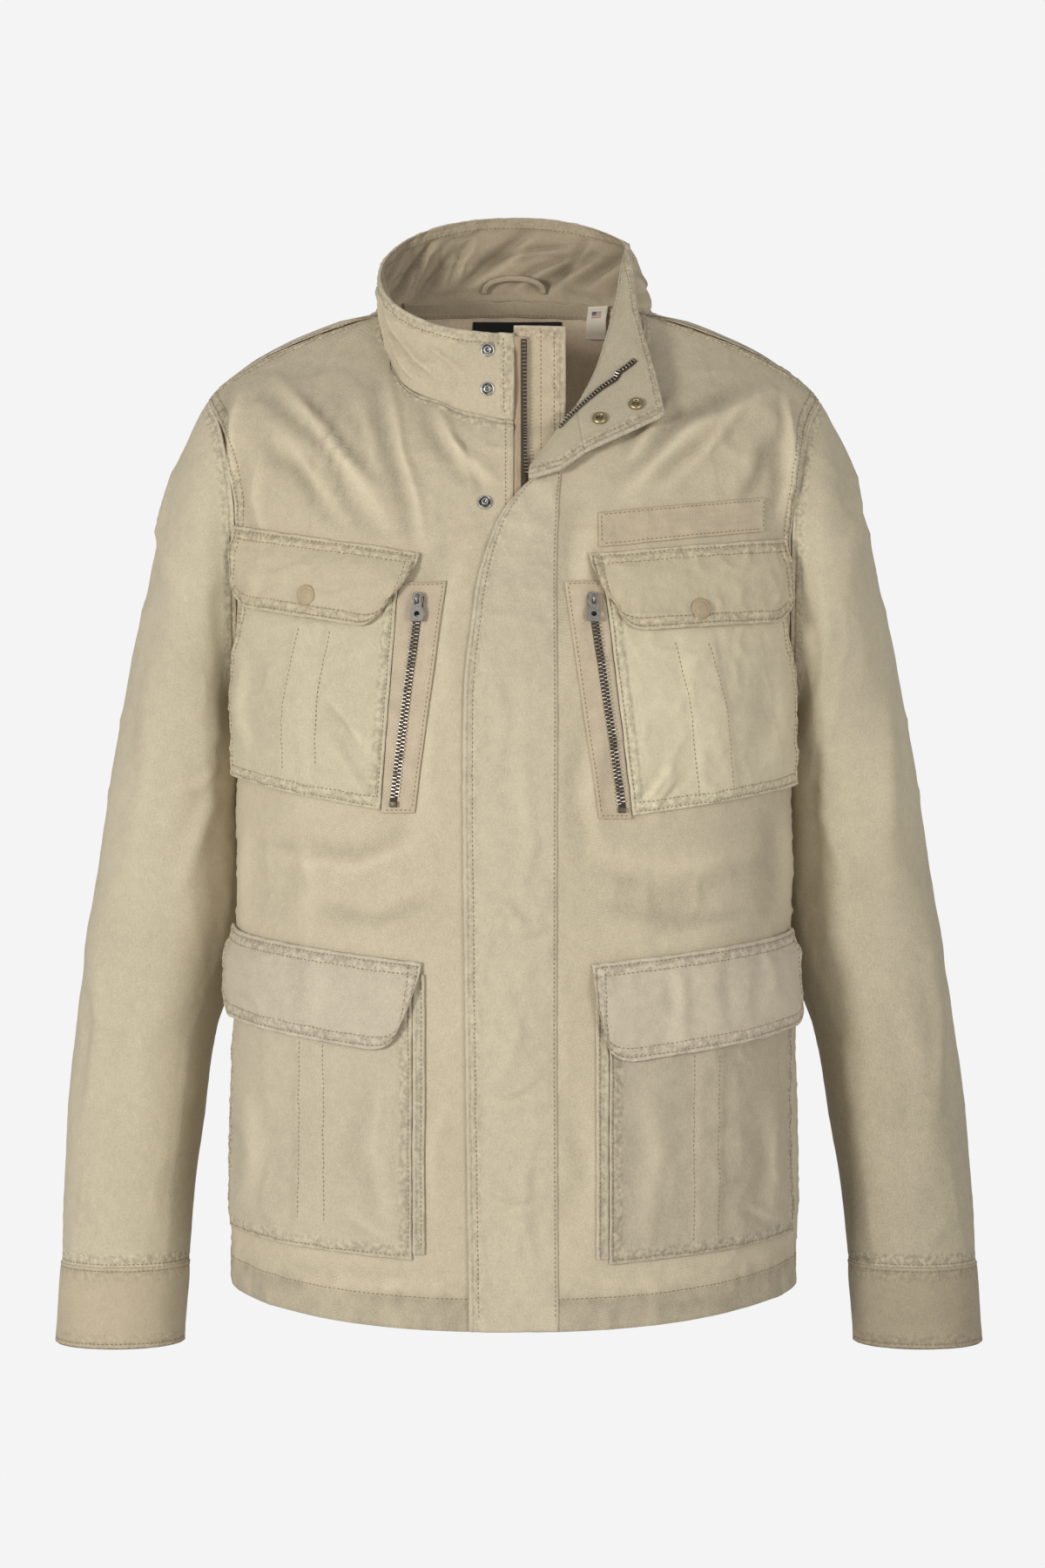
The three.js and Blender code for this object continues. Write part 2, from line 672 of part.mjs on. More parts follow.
// The part turned outward, between the roll and its free edge, bulged a little away from the front.
function lapelPair(row, across, lift, thick) {
  const roll = rollAt(row).add(ROLL_APART);
  const edge = edgeAt(row);
  const face = lapelFace(row);
  const point = roll.lerp(edge, across).addScaledVector(face, 2.5 * Math.sin(Math.PI * across));
  return [
    point.clone().addScaledVector(face, lift + thick),
    point.clone().addScaledVector(face, lift),
  ];
}

function lapelFace(row) {
  const step = 0.3;
  const low = Math.max(0, row - step);
  const high = Math.min(ROLL.length - 1, row + step);
  const along = rollAt(high).add(edgeAt(high)).sub(rollAt(low)).sub(edgeAt(low));
  const across = edgeAt(row).sub(rollAt(row));
  const face = along.cross(across).normalize();
  return face.y > 0 ? face.negate() : face;
}

const LAPEL_SEAM = 5.1; // row where the collar's seam crosses the turned-out part

// Where the zip's left half lies across the turned-out part, in even steps down it.
const ZIP_LINE = [0.575, 0.312, 0.213, 0.15, 0.085, 0.05];

function buildLapel() {
  const last = ROLL.length - 1;
  const upper = (u, v) => lapelPair(v * (LAPEL_SEAM - 0.02), u, 0, DOUBLE);
  const lower = (u, v) => lapelPair(mix(LAPEL_SEAM, last, v), u, 0, DOUBLE);
  add('collar_turned_end', wallGeometry(4, 15, upper), 'twill');
  add('placket_turned_top', wallGeometry(4, 6, lower), 'twill');
  const teeth = (u, v) => {
    const step = v * (ZIP_LINE.length - 1);
    const i = Math.min(ZIP_LINE.length - 2, Math.floor(step));
    const across = mix(ZIP_LINE[i], ZIP_LINE[i + 1], step - i) + (u - 0.5) * 0.1;
    return lapelPair(mix(3.25, 5.95, v), across, DOUBLE + SEAM, 1.3);
  };
  add('zip_left_edge', wallGeometry(1, 10, teeth), 'brass');
}

function buildPlacket() {
  const top = PLACKET[0].z;
  const low = PLACKET[PLACKET.length - 1].z;
  const pair = (u, v) => {
    const z = mix(top, low, v ** 1.5);
    const free = smoothColumn(PLACKET, 'z', z, 'free');
    const sewn = smoothColumn(PLACKET, 'z', z, 'sewn');
    const outer = frontAt(mix(free, sewn, u), z, REST + 1.8);
    const inner = frontAt(mix(free, sewn, u), z, REST + 0.2);
    return [outer, inner];
  };
  add('storm_placket', wallGeometry(4, 22, pair), 'twill');
}

// A strip that stands inside the open neck, where there is no body surface to follow.
function neckStripAt(x, z, inward) {
  if (z < NECK_FRONT) return frontAt(x, z, -inward);
  const lean = (z - NECK_FRONT) / (COLLAR_FRONT_TOP - NECK_FRONT);
  return new THREE.Vector3(x, -83 + 5 * lean + inward + 0.004 * x * x, z);
}

function buildZipRight() {
  const strip = (from, to, top, inward, thick) => (u, v) => {
    const z = mix(top, HEM_FRONT + 12, v ** 1.4);
    return [
      neckStripAt(mix(from, to, u), z, inward),
      neckStripAt(mix(from, to, u), z, inward + thick),
    ];
  };
  add('zip_tape_main', wallGeometry(1, 26, strip(0.7, 7.4, COLLAR_FRONT_TOP - 2, 0.2, 1.2)), 'tape');
  add('zip_guard', wallGeometry(4, 26, strip(0.5, 37, COLLAR_FRONT_TOP + 6, 3.3, CLOTH)), 'twill');
}

// A piece that lies on the front: its edges touch the front and its middle stands off it.
function patchPair(outline, u, v, rise, thick) {
  const z = outline.zAt(u, v);
  const distance = outline.distanceAt(u, v);
  const swell = (4 * u * (1 - u) * 4 * v * (1 - v)) ** 0.35;
  const lift = REST + rise * swell;
  return [
    frontAt(distance * outline.sign, z, lift + thick),
    frontAt(distance * outline.sign, z, lift),
  ];
}

function chestOutline(row) {
  return {
    sign: row.sign,
    zAt: (u, v) => mix(row.top, mix(row.lowIn, row.lowOut, u), v),
    distanceAt: (u, v) => mix(mix(row.inTop, row.inLow, v), mix(row.outTop, row.out, ease(v * 1.6)), u),
  };
}

function lowerOutline(row) {
  return {
    sign: row.sign,
    zAt: (u, v) => mix(row.top, mix(row.lowIn, row.lowOut, u), v),
    distanceAt: (u) => mix(row.in, row.out, u),
  };
}

// A flap: its top edge is sewn down, its lower corners are round and it rests on the pocket.
const FLAP_CORNER = 22;

function flapPair(row, u, v) {
  const inner = row.flapIn + row.flapSlant * v ** 1.6;
  const outer = row.flapOut + row.flapFlare * v ** 1.5;
  const distance = mix(inner, outer, u);
  const width = row.flapOut - row.flapIn;
  const fromEnd = Math.min(u, 1 - u) * width;
  const short = Math.max(0, FLAP_CORNER - fromEnd);
  const corner = FLAP_CORNER - Math.sqrt(Math.max(0, FLAP_CORNER ** 2 - short ** 2));
  const topZ = mix(row.flapTopIn, row.flapTopOut, u);
  const lowZ = mix(row.flapLowIn, row.flapLowOut, u) + 0.8 * corner;
  const z = mix(topZ, lowZ, v);
  const overPocket = ease((topZ - z) / 22);
  const lift = REST + (POCKET_RISE + CLOTH + 1.4) * overPocket;
  return [
    frontAt(distance * row.sign, z, lift + DOUBLE),
    frontAt(distance * row.sign, z, lift),
  ];
}

// Evenly spaced columns, with extra ones at a flap's round corners.
function cornerSpread(u) {
  return 0.5 - 0.5 * Math.cos(Math.PI * u) * (0.35 * Math.cos(Math.PI * u) ** 2 + 0.65);
}

function buildPocket(name, row, outline) {
  const pocket = (u, v) => patchPair(outline, u, v, POCKET_RISE, CLOTH);
  add(`pocket_${name}_${row.side}`, wallGeometry(10, 8, pocket), 'twill');
  const flap = (u, v) => flapPair(row, cornerSpread(u), v);
  add(`flap_${name}_${row.side}`, wallGeometry(12, 5, flap), 'twill');
}

function buildGusset(row) {
  const pair = (u, v) => {
    const z = mix(row.top, row.lowIn + 4, v);
    const distance = mix(row.in - row.gusset, row.in - 1, u);
    return [frontAt(distance * row.sign, z, REST + CLOTH), frontAt(distance * row.sign, z, REST)];
  };
  add(`gusset_lower_${row.side}`, wallGeometry(1, 8, pair), 'twill');
}

// The slanted zip beside a chest pocket: a woven facing, and the chain on it.
function chestZipPlace(row, v) {
  return { z: mix(-207, row.lowIn, v), chain: mix(row.chainTop, row.chainLow, v) };
}

function buildChestZip(row) {
  const facing = (u, v) => {
    const z = mix(-204, row.lowIn - 2, v);
    const inner = mix(row.facingTop, row.facingLow, v);
    const outer = mix(row.inTop, row.inLow, v) - 1.2;
    const distance = mix(inner, outer, u) * row.sign;
    return [frontAt(distance, z, REST + FACING_RISE), frontAt(distance, z, REST)];
  };
  add(`zip_facing_${row.side}`, wallGeometry(2, 8, facing), 'tape');
  const chain = (u, v) => {
    const at = chestZipPlace(row, mix(0.16, 0.96, v));
    const distance = (at.chain + (u - 0.5) * 5) * row.sign;
    const base = REST + FACING_RISE + 0.3;
    return [frontAt(distance, at.z, base + 1.4), frontAt(distance, at.z, base)];
  };
  add(`zip_chain_${row.side}`, wallGeometry(1, 10, chain), 'brass');
}

// Places a hard piece on the front, with its own X along the cloth, Y up it and Z outward.
function seatOnFront(mesh, distance, z, lift, upright = false) {
  const step = 3;
  const point = frontAt(distance, z, lift);
  const out = bodyNormal(bodyBase(turnAt(distance, z), z));
  if (upright) out.setZ(0).normalize();
  const up = frontAt(distance, z + step, lift).sub(point).projectOnPlane(out).normalize();
  const along = up.clone().cross(out).normalize();
  mesh.setRotationFromMatrix(new THREE.Matrix4().makeBasis(along, up, out));
  mesh.position.copy(point);
}

function seatAt(mesh, point, out) {
  mesh.quaternion.setFromUnitVectors(new THREE.Vector3(0, 0, 1), out);
  mesh.position.copy(point);
}

// A round fastener turned from a profile of radius and height.
function turned(profile, segments = 14) {
  const points = profile.map(([radius, height]) => new THREE.Vector2(radius, height));
  const geometry = new THREE.LatheGeometry(points, segments);
  geometry.rotateX(Math.PI / 2);
  return geometry;
}

const STUD = [[0, 0], [5, 0], [5, 1], [4.2, 1.6], [2.6, 1.2], [2.2, 2.6], [0, 2.8]];
const SOCKET = [[0, 0], [5.2, 0], [5.4, 0.9], [4.2, 2.2], [2.4, 2.3], [2, 1.2], [0, 1.2]];
const CAP = [[0, 0], [6.6, 0], [6.8, 0.7], [6, 1.5], [0, 2]];

function buildFasteners() {
  const studs = [
    { name: 'stud_top', x: -18.4, z: -36, off: 0 },
    { name: 'stud_middle', x: -18.4, z: -64, off: 0.8 },
  ];
  for (const stud of studs) {
    const mesh = add(stud.name, turned(STUD), 'steel');
    const lean = (stud.z - NECK_FRONT) / (COLLAR_FRONT_TOP - NECK_FRONT);
    const bulge = 2.5 * Math.sin(Math.PI * lean);
    const point = new THREE.Vector3(stud.x, -82.2 + stud.off + 5 * lean - bulge, stud.z);
    seatAt(mesh, point, new THREE.Vector3(-0.12, -1, 0).normalize());
  }
  const low = add('stud_low', turned(STUD), 'steel');
  seatOnFront(low, -20, -147, 0.5);
  for (const [name, row, across] of [['socket_tip', 4.15, 0.71], ['socket_inner', 4.7, 0.61]]) {
    const mesh = add(name, turned(SOCKET), 'brass');
    seatAt(mesh, lapelPair(row, across, DOUBLE + 1, 0)[0], lapelFace(row));
  }
  for (const row of CHEST) {
    const mesh = add(`snap_cap_${row.side}`, turned(CAP), 'tape');
    seatOnFront(mesh, row.snapAt * row.sign, row.snapZ, REST + POCKET_RISE + CLOTH + 1.4 + DOUBLE + 0.4);
  }
}

const TAPE_LABEL = { inner: 60, outer: 184, topIn: -155, topOut: -141, lowIn: -179, lowOut: -165 };

function buildTapes() {
  const tape = (u, v) => {
    const distance = mix(TAPE_LABEL.inner, TAPE_LABEL.outer, u);
    const top = mix(TAPE_LABEL.topIn, TAPE_LABEL.topOut, u);
    const low = mix(TAPE_LABEL.lowIn, TAPE_LABEL.lowOut, u);
    const z = mix(top, low, v);
    return [frontAt(distance, z, REST + 1), frontAt(distance, z, REST)];
  };
  add('name_tape', wallGeometry(8, 2, tape), 'tape');
}

// Joins overlapping closed shapes into one solid.
function joined(geometries) {
  const solids = geometries.map((geometry) => {
    const bare = geometry.clone();
    bare.deleteAttribute('normal');
    bare.deleteAttribute('uv');
    const merged = mergeVertices(bare.index ? bare.toNonIndexed() : bare, 1e-4);
    return new manifold.Manifold(new manifold.Mesh({
      numProp: 3,
      vertProperties: new Float32Array(merged.attributes.position.array),
      triVerts: new Uint32Array(merged.index.array),
    }));
  });
  const mesh = solids.reduce((whole, solid) => whole.add(solid)).getMesh();
  const geometry = new THREE.BufferGeometry();
  geometry.setAttribute('position', new THREE.BufferAttribute(mesh.vertProperties, 3));
  geometry.setIndex(Array.from(mesh.triVerts));
  geometry.computeVertexNormals();
  return geometry;
}

// A chest zip's slider and pull tab, about the pivot: X along the cloth, Y up it, Z outward.
const SLIDER = { width: 7.4, neck: 5, length: 10.5, thick: 3.2, clear: 1.2 };
const ARCH = { inner: 2.6, outer: 3.6, width: 1.8 };
const TAB = {
  width: 8.6, length: 16.5, thick: 1, bar: 1.1, holeTop: -0.6, holeLow: -4.6, holeHalf: 1.7, eye: 2,
};

function flatPiece(shape, thick, segments = 5) {
  return new THREE.ExtrudeGeometry(shape, { depth: thick, bevelEnabled: false, curveSegments: segments });
}

function sliderGeometry() {
  const outline = new THREE.Shape();
  const half = SLIDER.width / 2;
  const low = -SLIDER.length / 2;
  outline.moveTo(-SLIDER.neck / 2, low);
  outline.lineTo(SLIDER.neck / 2, low);
  outline.lineTo(half, low + 6);
  outline.quadraticCurveTo(half, -low, 1.2, -low);
  outline.lineTo(-1.2, -low);
  outline.quadraticCurveTo(-half, -low, -half, low + 6);
  outline.closePath();
  const body = flatPiece(outline, SLIDER.thick);
  body.translate(0, 0, -SLIDER.clear - SLIDER.thick);
  const ring = new THREE.Shape();
  const sunk = 0.5;
  ring.moveTo(ARCH.outer, -sunk);
  ring.lineTo(ARCH.outer, 0);
  ring.absarc(0, 0, ARCH.outer, 0, Math.PI, false);
  ring.lineTo(-ARCH.outer, -sunk);
  ring.lineTo(-ARCH.inner, -sunk);
  ring.lineTo(-ARCH.inner, 0);
  ring.absarc(0, 0, ARCH.inner, Math.PI, 0, true);
  ring.lineTo(ARCH.inner, -sunk);
  ring.closePath();
  const arch = flatPiece(ring, ARCH.width);
  arch.translate(0, 0, -ARCH.width / 2);
  arch.applyMatrix4(new THREE.Matrix4().makeBasis(
    new THREE.Vector3(0, 1, 0),
    new THREE.Vector3(0, 0, 1),
    new THREE.Vector3(1, 0, 0),
  ));
  arch.translate(0, 0, -SLIDER.clear);
  return joined([body, arch]);
}

function tabGeometry() {
  const half = TAB.width / 2;
  const outline = new THREE.Shape();
  outline.moveTo(-2.8, TAB.bar);
  outline.lineTo(-half, -6);
  outline.lineTo(-half, 3 - TAB.length);
  outline.quadraticCurveTo(-half, -TAB.length, 0, -TAB.length);
  outline.quadraticCurveTo(half, -TAB.length, half, 3 - TAB.length);
  outline.lineTo(half, -6);
  outline.lineTo(2.8, TAB.bar);
  outline.closePath();
  const slot = new THREE.Path();
  slot.moveTo(-TAB.holeHalf, TAB.holeTop);
  slot.lineTo(TAB.holeHalf, TAB.holeTop);
  slot.lineTo(TAB.holeHalf, TAB.holeLow);
  slot.lineTo(-TAB.holeHalf, TAB.holeLow);
  slot.closePath();
  const eye = new THREE.Path();
  eye.absarc(0, -10.5, TAB.eye, 0, Math.PI * 2, false);
  outline.holes.push(slot, eye);
  const plate = flatPiece(outline, TAB.thick, 6);
  plate.translate(0, 0, -TAB.thick / 2);
  return plate;
}

function buildPull(row) {
  const lift = REST + FACING_RISE + 0.4 + SLIDER.thick + SLIDER.clear;
  const distance = (row.chainTop + 1.5) * row.sign;
  for (const [name, geometry] of [['zip_slider', sliderGeometry()], ['pull_tab', tabGeometry()]]) {
    const mesh = add(`${name}_${row.side}`, geometry, 'steel');
    seatOnFront(mesh, distance, -217, lift);
  }
}

// What lies on the inside of the back at the neck: binding, loop, a bare label and a size label.
function insidePair(x, z, gap, thick) {
  const section = bodySection(z);
  const share = Math.min(1, Math.abs(x) / section.half) ** (ROUNDING / 2);
  const turn = (Math.PI - Math.asin(share)) * (x < 0 ? -1 : 1);
  return clothPair(turn, z, -CLOTH - gap, thick);
}

const LOOP = { half: 22, rise: 11, stand: 7.2, width: 3, thick: 1.2, low: 24 };

function buildNeckInside() {
  const binding = (u, v) => {
    const z = mix(19, 8, v) - 5 * (2 * u - 1) ** 2;
    return insidePair(mix(-66, 66, u), z, 1.3, 0.8);
  };
  add('neck_binding', wallGeometry(10, 1, binding), 'twill');
  const label = (u, v) => insidePair(mix(-31, 36, u), mix(4, -35, v), mix(0.8, 2.4, ease(v * 3)), 0.7);
  add('neck_label', wallGeometry(5, 4, label), 'dark');
  const size = (u, v) => insidePair(mix(58, 73, u) - 3 * v, mix(15, -7, v), 3.4, 0.6);
  add('size_label', wallGeometry(2, 3, size), 'tape');
  add('hanger_loop', wallGeometry(1, 14, loopPair), 'twill');
}

// The loop arches up the inside of the collar, its two ends sewn in at the neck seam.
function loopPair(u, v) {
  const angle = Math.PI * v;
  const x = -LOOP.half * Math.cos(angle);
  const z = LOOP.low + LOOP.rise * Math.sin(angle) ** 0.8 + LOOP.width * (u - 0.5) * Math.sin(angle);
  const side = x - LOOP.width * (u - 0.5) * Math.cos(angle);
  const depth = collarInside(side, z) + 0.5 - LOOP.stand * Math.sin(angle);
  return [new THREE.Vector3(side, depth, z), new THREE.Vector3(side, depth - LOOP.thick, z)];
}

// How deep the inner face of the collar lies at the back.
function collarInside(x, z) {
  const low = 70 - 0.0075 * x * x;
  const top = 62 - 0.0072 * x * x;
  return mix(low, top, (z - NECK_BACK) / 60) + 2.5 * Math.sin(Math.PI * (z - NECK_BACK) / 60) - DOUBLE;
}

buildFronts();
buildBack();
for (const side of ['left', 'right']) {
  buildSleeve(side);
  buildCuff(side);
}
buildCollar();
buildLapel();
buildPlacket();
buildZipRight();
for (const row of CHEST) {
  buildPocket('chest', row, chestOutline(row));
  buildChestZip(row);
  buildPull(row);
}
for (const row of LOWER) {
  buildPocket('lower', row, lowerOutline(row));
  buildGusset(row);
}
buildFasteners();
buildTapes();
buildNeckInside();

jacket.position.set(0, -70, -20);

export default jacket;
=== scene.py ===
import math

import bmesh
import bpy
import numpy as np
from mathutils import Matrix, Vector


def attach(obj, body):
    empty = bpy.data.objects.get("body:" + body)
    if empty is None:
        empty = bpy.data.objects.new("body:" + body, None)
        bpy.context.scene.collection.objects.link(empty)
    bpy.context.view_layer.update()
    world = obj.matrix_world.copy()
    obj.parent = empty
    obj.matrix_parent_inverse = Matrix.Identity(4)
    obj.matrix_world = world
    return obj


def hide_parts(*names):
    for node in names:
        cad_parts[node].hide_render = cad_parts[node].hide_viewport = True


# A field jacket, worn shape with nobody in it. The form is worked out in millimetres about the middle of
# the chest, +X the wearer's left, -Y the front and +Z up, and is then moved to the frame in metres.

FRAME_SHIFT = (0.0, -70.0, -20.0)
CLOTH = 1.1
DOUBLE = 2.2
SEAM = 0.4
REST = 0.8
ROUNDING = 2.3
HEM_FRONT = -725.0
HEM_SIDE = -708.0
ARMPIT = -290.0
SHOULDER_TIP = -62.0
NECK_FRONT = -86.0
NECK_BACK = 20.0
COLLAR_FRONT_TOP = -24.0
ROLL_START = -121.0
QUARTER = math.pi / 2

# Cross sections of the body: height, half width, depth of the front and depth of the back.
BODY = np.array([
    (-725, 207, 146, 128), (-620, 206, 143, 126), (-500, 204, 141, 122), (-380, 203, 141, 122),
    (-265, 203, 139, 124), (-220, 208, 131, 125), (-181, 218, 120, 124), (-130, 231, 103, 118),
    (-93, 231, 88, 108), (-63, 223, 66, 98), (-44, 203, 49, 91), (-25, 174, 34, 84),
    (-6, 130, 22, 77.5), (0, 105, 18, 75.5), (9, 98, 14, 73), (20, 88, 10, 70),
], float)

# The armhole seam: height, and how far out it lies as a share of the half width.
ARMHOLE = np.array([
    (-290, 1), (-270, 0.992), (-245, 0.978), (-216, 0.955), (-190, 0.925), (-166, 0.9), (-142, 0.88),
    (-118, 0.883), (-100, 0.9), (-85, 0.926), (-76, 0.952), (-68, 0.982), (-62, 1),
], float)

# The neck seam: turn and height, from the centre front to the centre back.
NECK_SEAM = np.array([
    (0, -86), (0.115, -79), (0.197, -71), (0.3, -60), (0.395, -43), (0.52, -22), (0.95, 0.5), (1.85, 5),
    (2.2, 9), (2.5, 13), (2.8, 17), (math.pi, 20),
], float)
NECK_POINT_STEP = 6
CORNER_GAP = 0.07

# Sleeve sections: outer and inner point (x, z), half depth and the middle's place in depth.
SLEEVE = np.array([
    (223, -62, 204, -290, 58, 0), (236, -85, 208.5, -291, 64, 2), (250, -121, 209, -300, 69, 8),
    (261, -160, 206.5, -312, 72, 15), (274, -217, 203, -330, 73, 24), (283, -255, 200.5, -350, 72, 32),
    (291, -294, 199, -372, 71, 37), (298.5, -332, 198.5, -395, 69, 40), (304, -371, 199, -420, 68, 42),
    (310, -409, 200.5, -447, 66, 42), (316, -447, 204.5, -475, 64, 39), (321.5, -486, 213, -503, 61, 35),
    (326, -524, 223, -534, 58, 33), (331.5, -582, 230.5, -585, 54, 30), (335, -639, 238, -640, 49, 24),
    (337, -697, 243, -697, 45, 18),
], float)
CUFF_HEIGHT = 58.0
BLEND_ROWS = 3
SLEEVE_SWING = {"left": 4.0, "right": -4.0}

# Broad folds of the fronts, as in the solids: from one end to the other, half width and rise.
FRONT_FOLDS = [
    (-172, -62, -112, -132, 13, 3.2), (-187, -88, -122, -158, 12, -2.6), (-92, -62, -74, -150, 12, -2.4),
    (150, -58, 74, -140, 14, 3.4), (182, -76, 104, -138, 12, -2.8),
]

# Broad folds of the sleeves: place round the arm, height, lean, half width, half length and rise.
SLEEVE_FOLDS = [
    (1.0, -330, 0.0016, 0.3, 110, 2.6), (2.3, -420, -0.002, 0.28, 90, -3),
    (-1.1, -380, 0.002, 0.3, 120, 2.4), (-2.2, -470, -0.0016, 0.3, 90, -2.4),
]

# The rolled edge of the turned-out part from its top down, and that part's free edge.
ROLL = np.array([
    (84, 22, 53), (80, 2, 34), (76, -17, 10), (69, -38, -18), (59, -58, -49), (45, -75, -75),
    (31, -88, -94), (12, -101, -121),
], float)
LAPEL_EDGE = np.array([
    (86, 16, 54), (88, -4, 35), (91, -36, -8), (101, -64, -49), (108, -87, -84), (52, -103, -111),
    (34, -108, -124), (12, -111, -131),
], float)
ROLL_AT_SEAM = 5
ROLL_NECK_ROW = 1.5
LEFT_EDGE_TURN = 0.03
RIGHT_EDGE_TURN = 0.0004
LAPEL_SEAM = 5.1
COLLAR_FULL = 7.7
ROLL_APART = np.array((0.8, -1.1, 0.4))

CHEST = {
    "right": dict(sign=-1, top=-205, inTop=81, inLow=94, lowIn=-363, lowOut=-338, outTop=212, out=244,
                  slant=26, flapIn=66, flapOut=212, flare=4, topIn=-184, topOut=-160, flapLowIn=-238,
                  flapLowOut=-216, facingTop=47, facingLow=69, chainTop=65, chainLow=84,
                  snapAt=146, snapZ=-213),
    "left": dict(sign=1, top=-205, inTop=64, inLow=84, lowIn=-367, lowOut=-345, outTop=212, out=244,
                 slant=20, flapIn=53, flapOut=206, flare=10, topIn=-185, topOut=-170, flapLowIn=-240,
                 flapLowOut=-228, facingTop=36, facingLow=60, chainTop=54, chainLow=76,
                 snapAt=131, snapZ=-223),
}
LOWER = {
    "right": dict(sign=-1, inner=71, out=246, top=-478, lowIn=-676, lowOut=-664, gusset=9,
                  slant=16, flapIn=64, flapOut=262, flare=0, topIn=-470, topOut=-447, flapLowIn=-532,
                  flapLowOut=-508),
    "left": dict(sign=1, inner=67, out=234, top=-478, lowIn=-679, lowOut=-667, gusset=9,
                 slant=9, flapIn=55, flapOut=250, flare=0, topIn=-471, topOut=-450, flapLowIn=-540,
                 flapLowOut=-516),
}
POCKET_RISE = 2.6
FACING_RISE = 1.1
FLAP_CORNER = 22.0

# The storm placket: height, its free edge and its sewn edge.
PLACKET = np.array([
    (-131, 12, 33), (-140, 3, 32), (-161, -11, 31), (-196, -23, 30), (-227, -28, 30), (-285, -34, 30.5),
    (-500, -33, 30), (-724.4, -30, 31),
], float)

# Creases of the fronts: points (x, z), half width and rise.
FRONT_CREASES = [
    ([(-176, -48), (-141, -87), (-100, -144), (-84, -168)], 7.5, 2.0),
    ([(-176, -80), (-153, -111), (-115, -163)], 7, 1.5),
    ([(-152, -62), (-118, -106), (-92, -132)], 6, -0.9),
    ([(-92, -46), (-80, -108), (-68, -146), (-62, -184)], 7, 1.7),
    ([(-116, -56), (-104, -92), (-98, -126)], 6, 0.9),
    ([(-58, -70), (-43, -104), (-12, -134)], 5, 1.5),
    ([(-40, -92), (-30, -118), (-22, -140)], 5, -0.7),
    ([(-197, -54), (-203, -86), (-203, -130)], 5, 1.5),
    ([(-182, -104), (-186, -140), (-176, -176)], 6, 0.9),
    ([(-30, -170), (-50, -230), (-46, -310)], 10, 0.9),
    ([(-66, -250), (-58, -320), (-70, -390)], 11, 0.8),
    ([(-60, -385), (-110, -404), (-180, -396)], 9, 1.0),
    ([(-45, -420), (-95, -440), (-150, -432)], 8, -0.9),
    ([(-190, -370), (-196, -420), (-190, -460)], 9, 1.2),
    ([(-150, -380), (-142, -420), (-150, -450)], 8, 0.8),
    ([(-45, -560), (-58, -600), (-50, -660)], 9, 1.0),
    ([(-200, -520), (-205, -600), (-198, -690)], 8, 1.2),
    ([(-60, -690), (-120, -700), (-190, -692)], 7, 1.0),
    ([(192, -58), (125, -95), (76, -144)], 7, 1.9),
    ([(166, -74), (134, -111), (104, -140)], 6, 1.4),
    ([(118, -62), (98, -92), (82, -116)], 5, 1.2),
    ([(198, -60), (200, -121), (192, -160)], 5.5, 1.5),
    ([(182, -92), (176, -124), (160, -146)], 6, -0.9),
    ([(62, -140), (50, -190), (44, -250)], 9, 0.9),
    ([(66, -290), (54, -350), (62, -400)], 10, 0.8),
    ([(52, -390), (110, -406), (180, -390)], 9, 1.0),
    ([(60, -430), (120, -442), (170, -436)], 8, -0.9),
    ([(194, -360), (198, -410), (192, -450)], 9, 1.2),
    ([(50, -560), (60, -610), (52, -670)], 9, 0.9),
    ([(204, -500), (206, -590), (200, -690)], 8, 1.2),
    ([(55, -692), (120, -702), (190, -694)], 7, 1.0),
]

# Creases of the back, by place across and height.
BACK_CREASES = [
    ([(-170, -70), (-120, -120), (-60, -150)], 11, 2.0),
    ([(170, -72), (124, -118), (70, -156)], 11, 1.9),
    ([(-196, -120), (-160, -190), (-120, -240)], 12, -1.8),
    ([(196, -126), (158, -190), (112, -250)], 12, -1.8),
    ([(-40, -10), (-20, -80), (-28, -150)], 10, 1.2),
    ([(36, -12), (22, -70), (34, -140)], 9, 1.1),
    ([(-185, -300), (-100, -330), (0, -318)], 14, 1.8),
    ([(180, -330), (90, -356), (-10, -348)], 14, -1.6),
    ([(-170, -420), (-80, -440), (40, -428)], 12, 1.4),
    ([(-150, -560), (-140, -620), (-150, -700)], 14, 1.8),
    ([(150, -540), (140, -610), (148, -700)], 14, -1.8),
    ([(20, -480), (12, -580), (24, -700)], 15, 1.5),
]

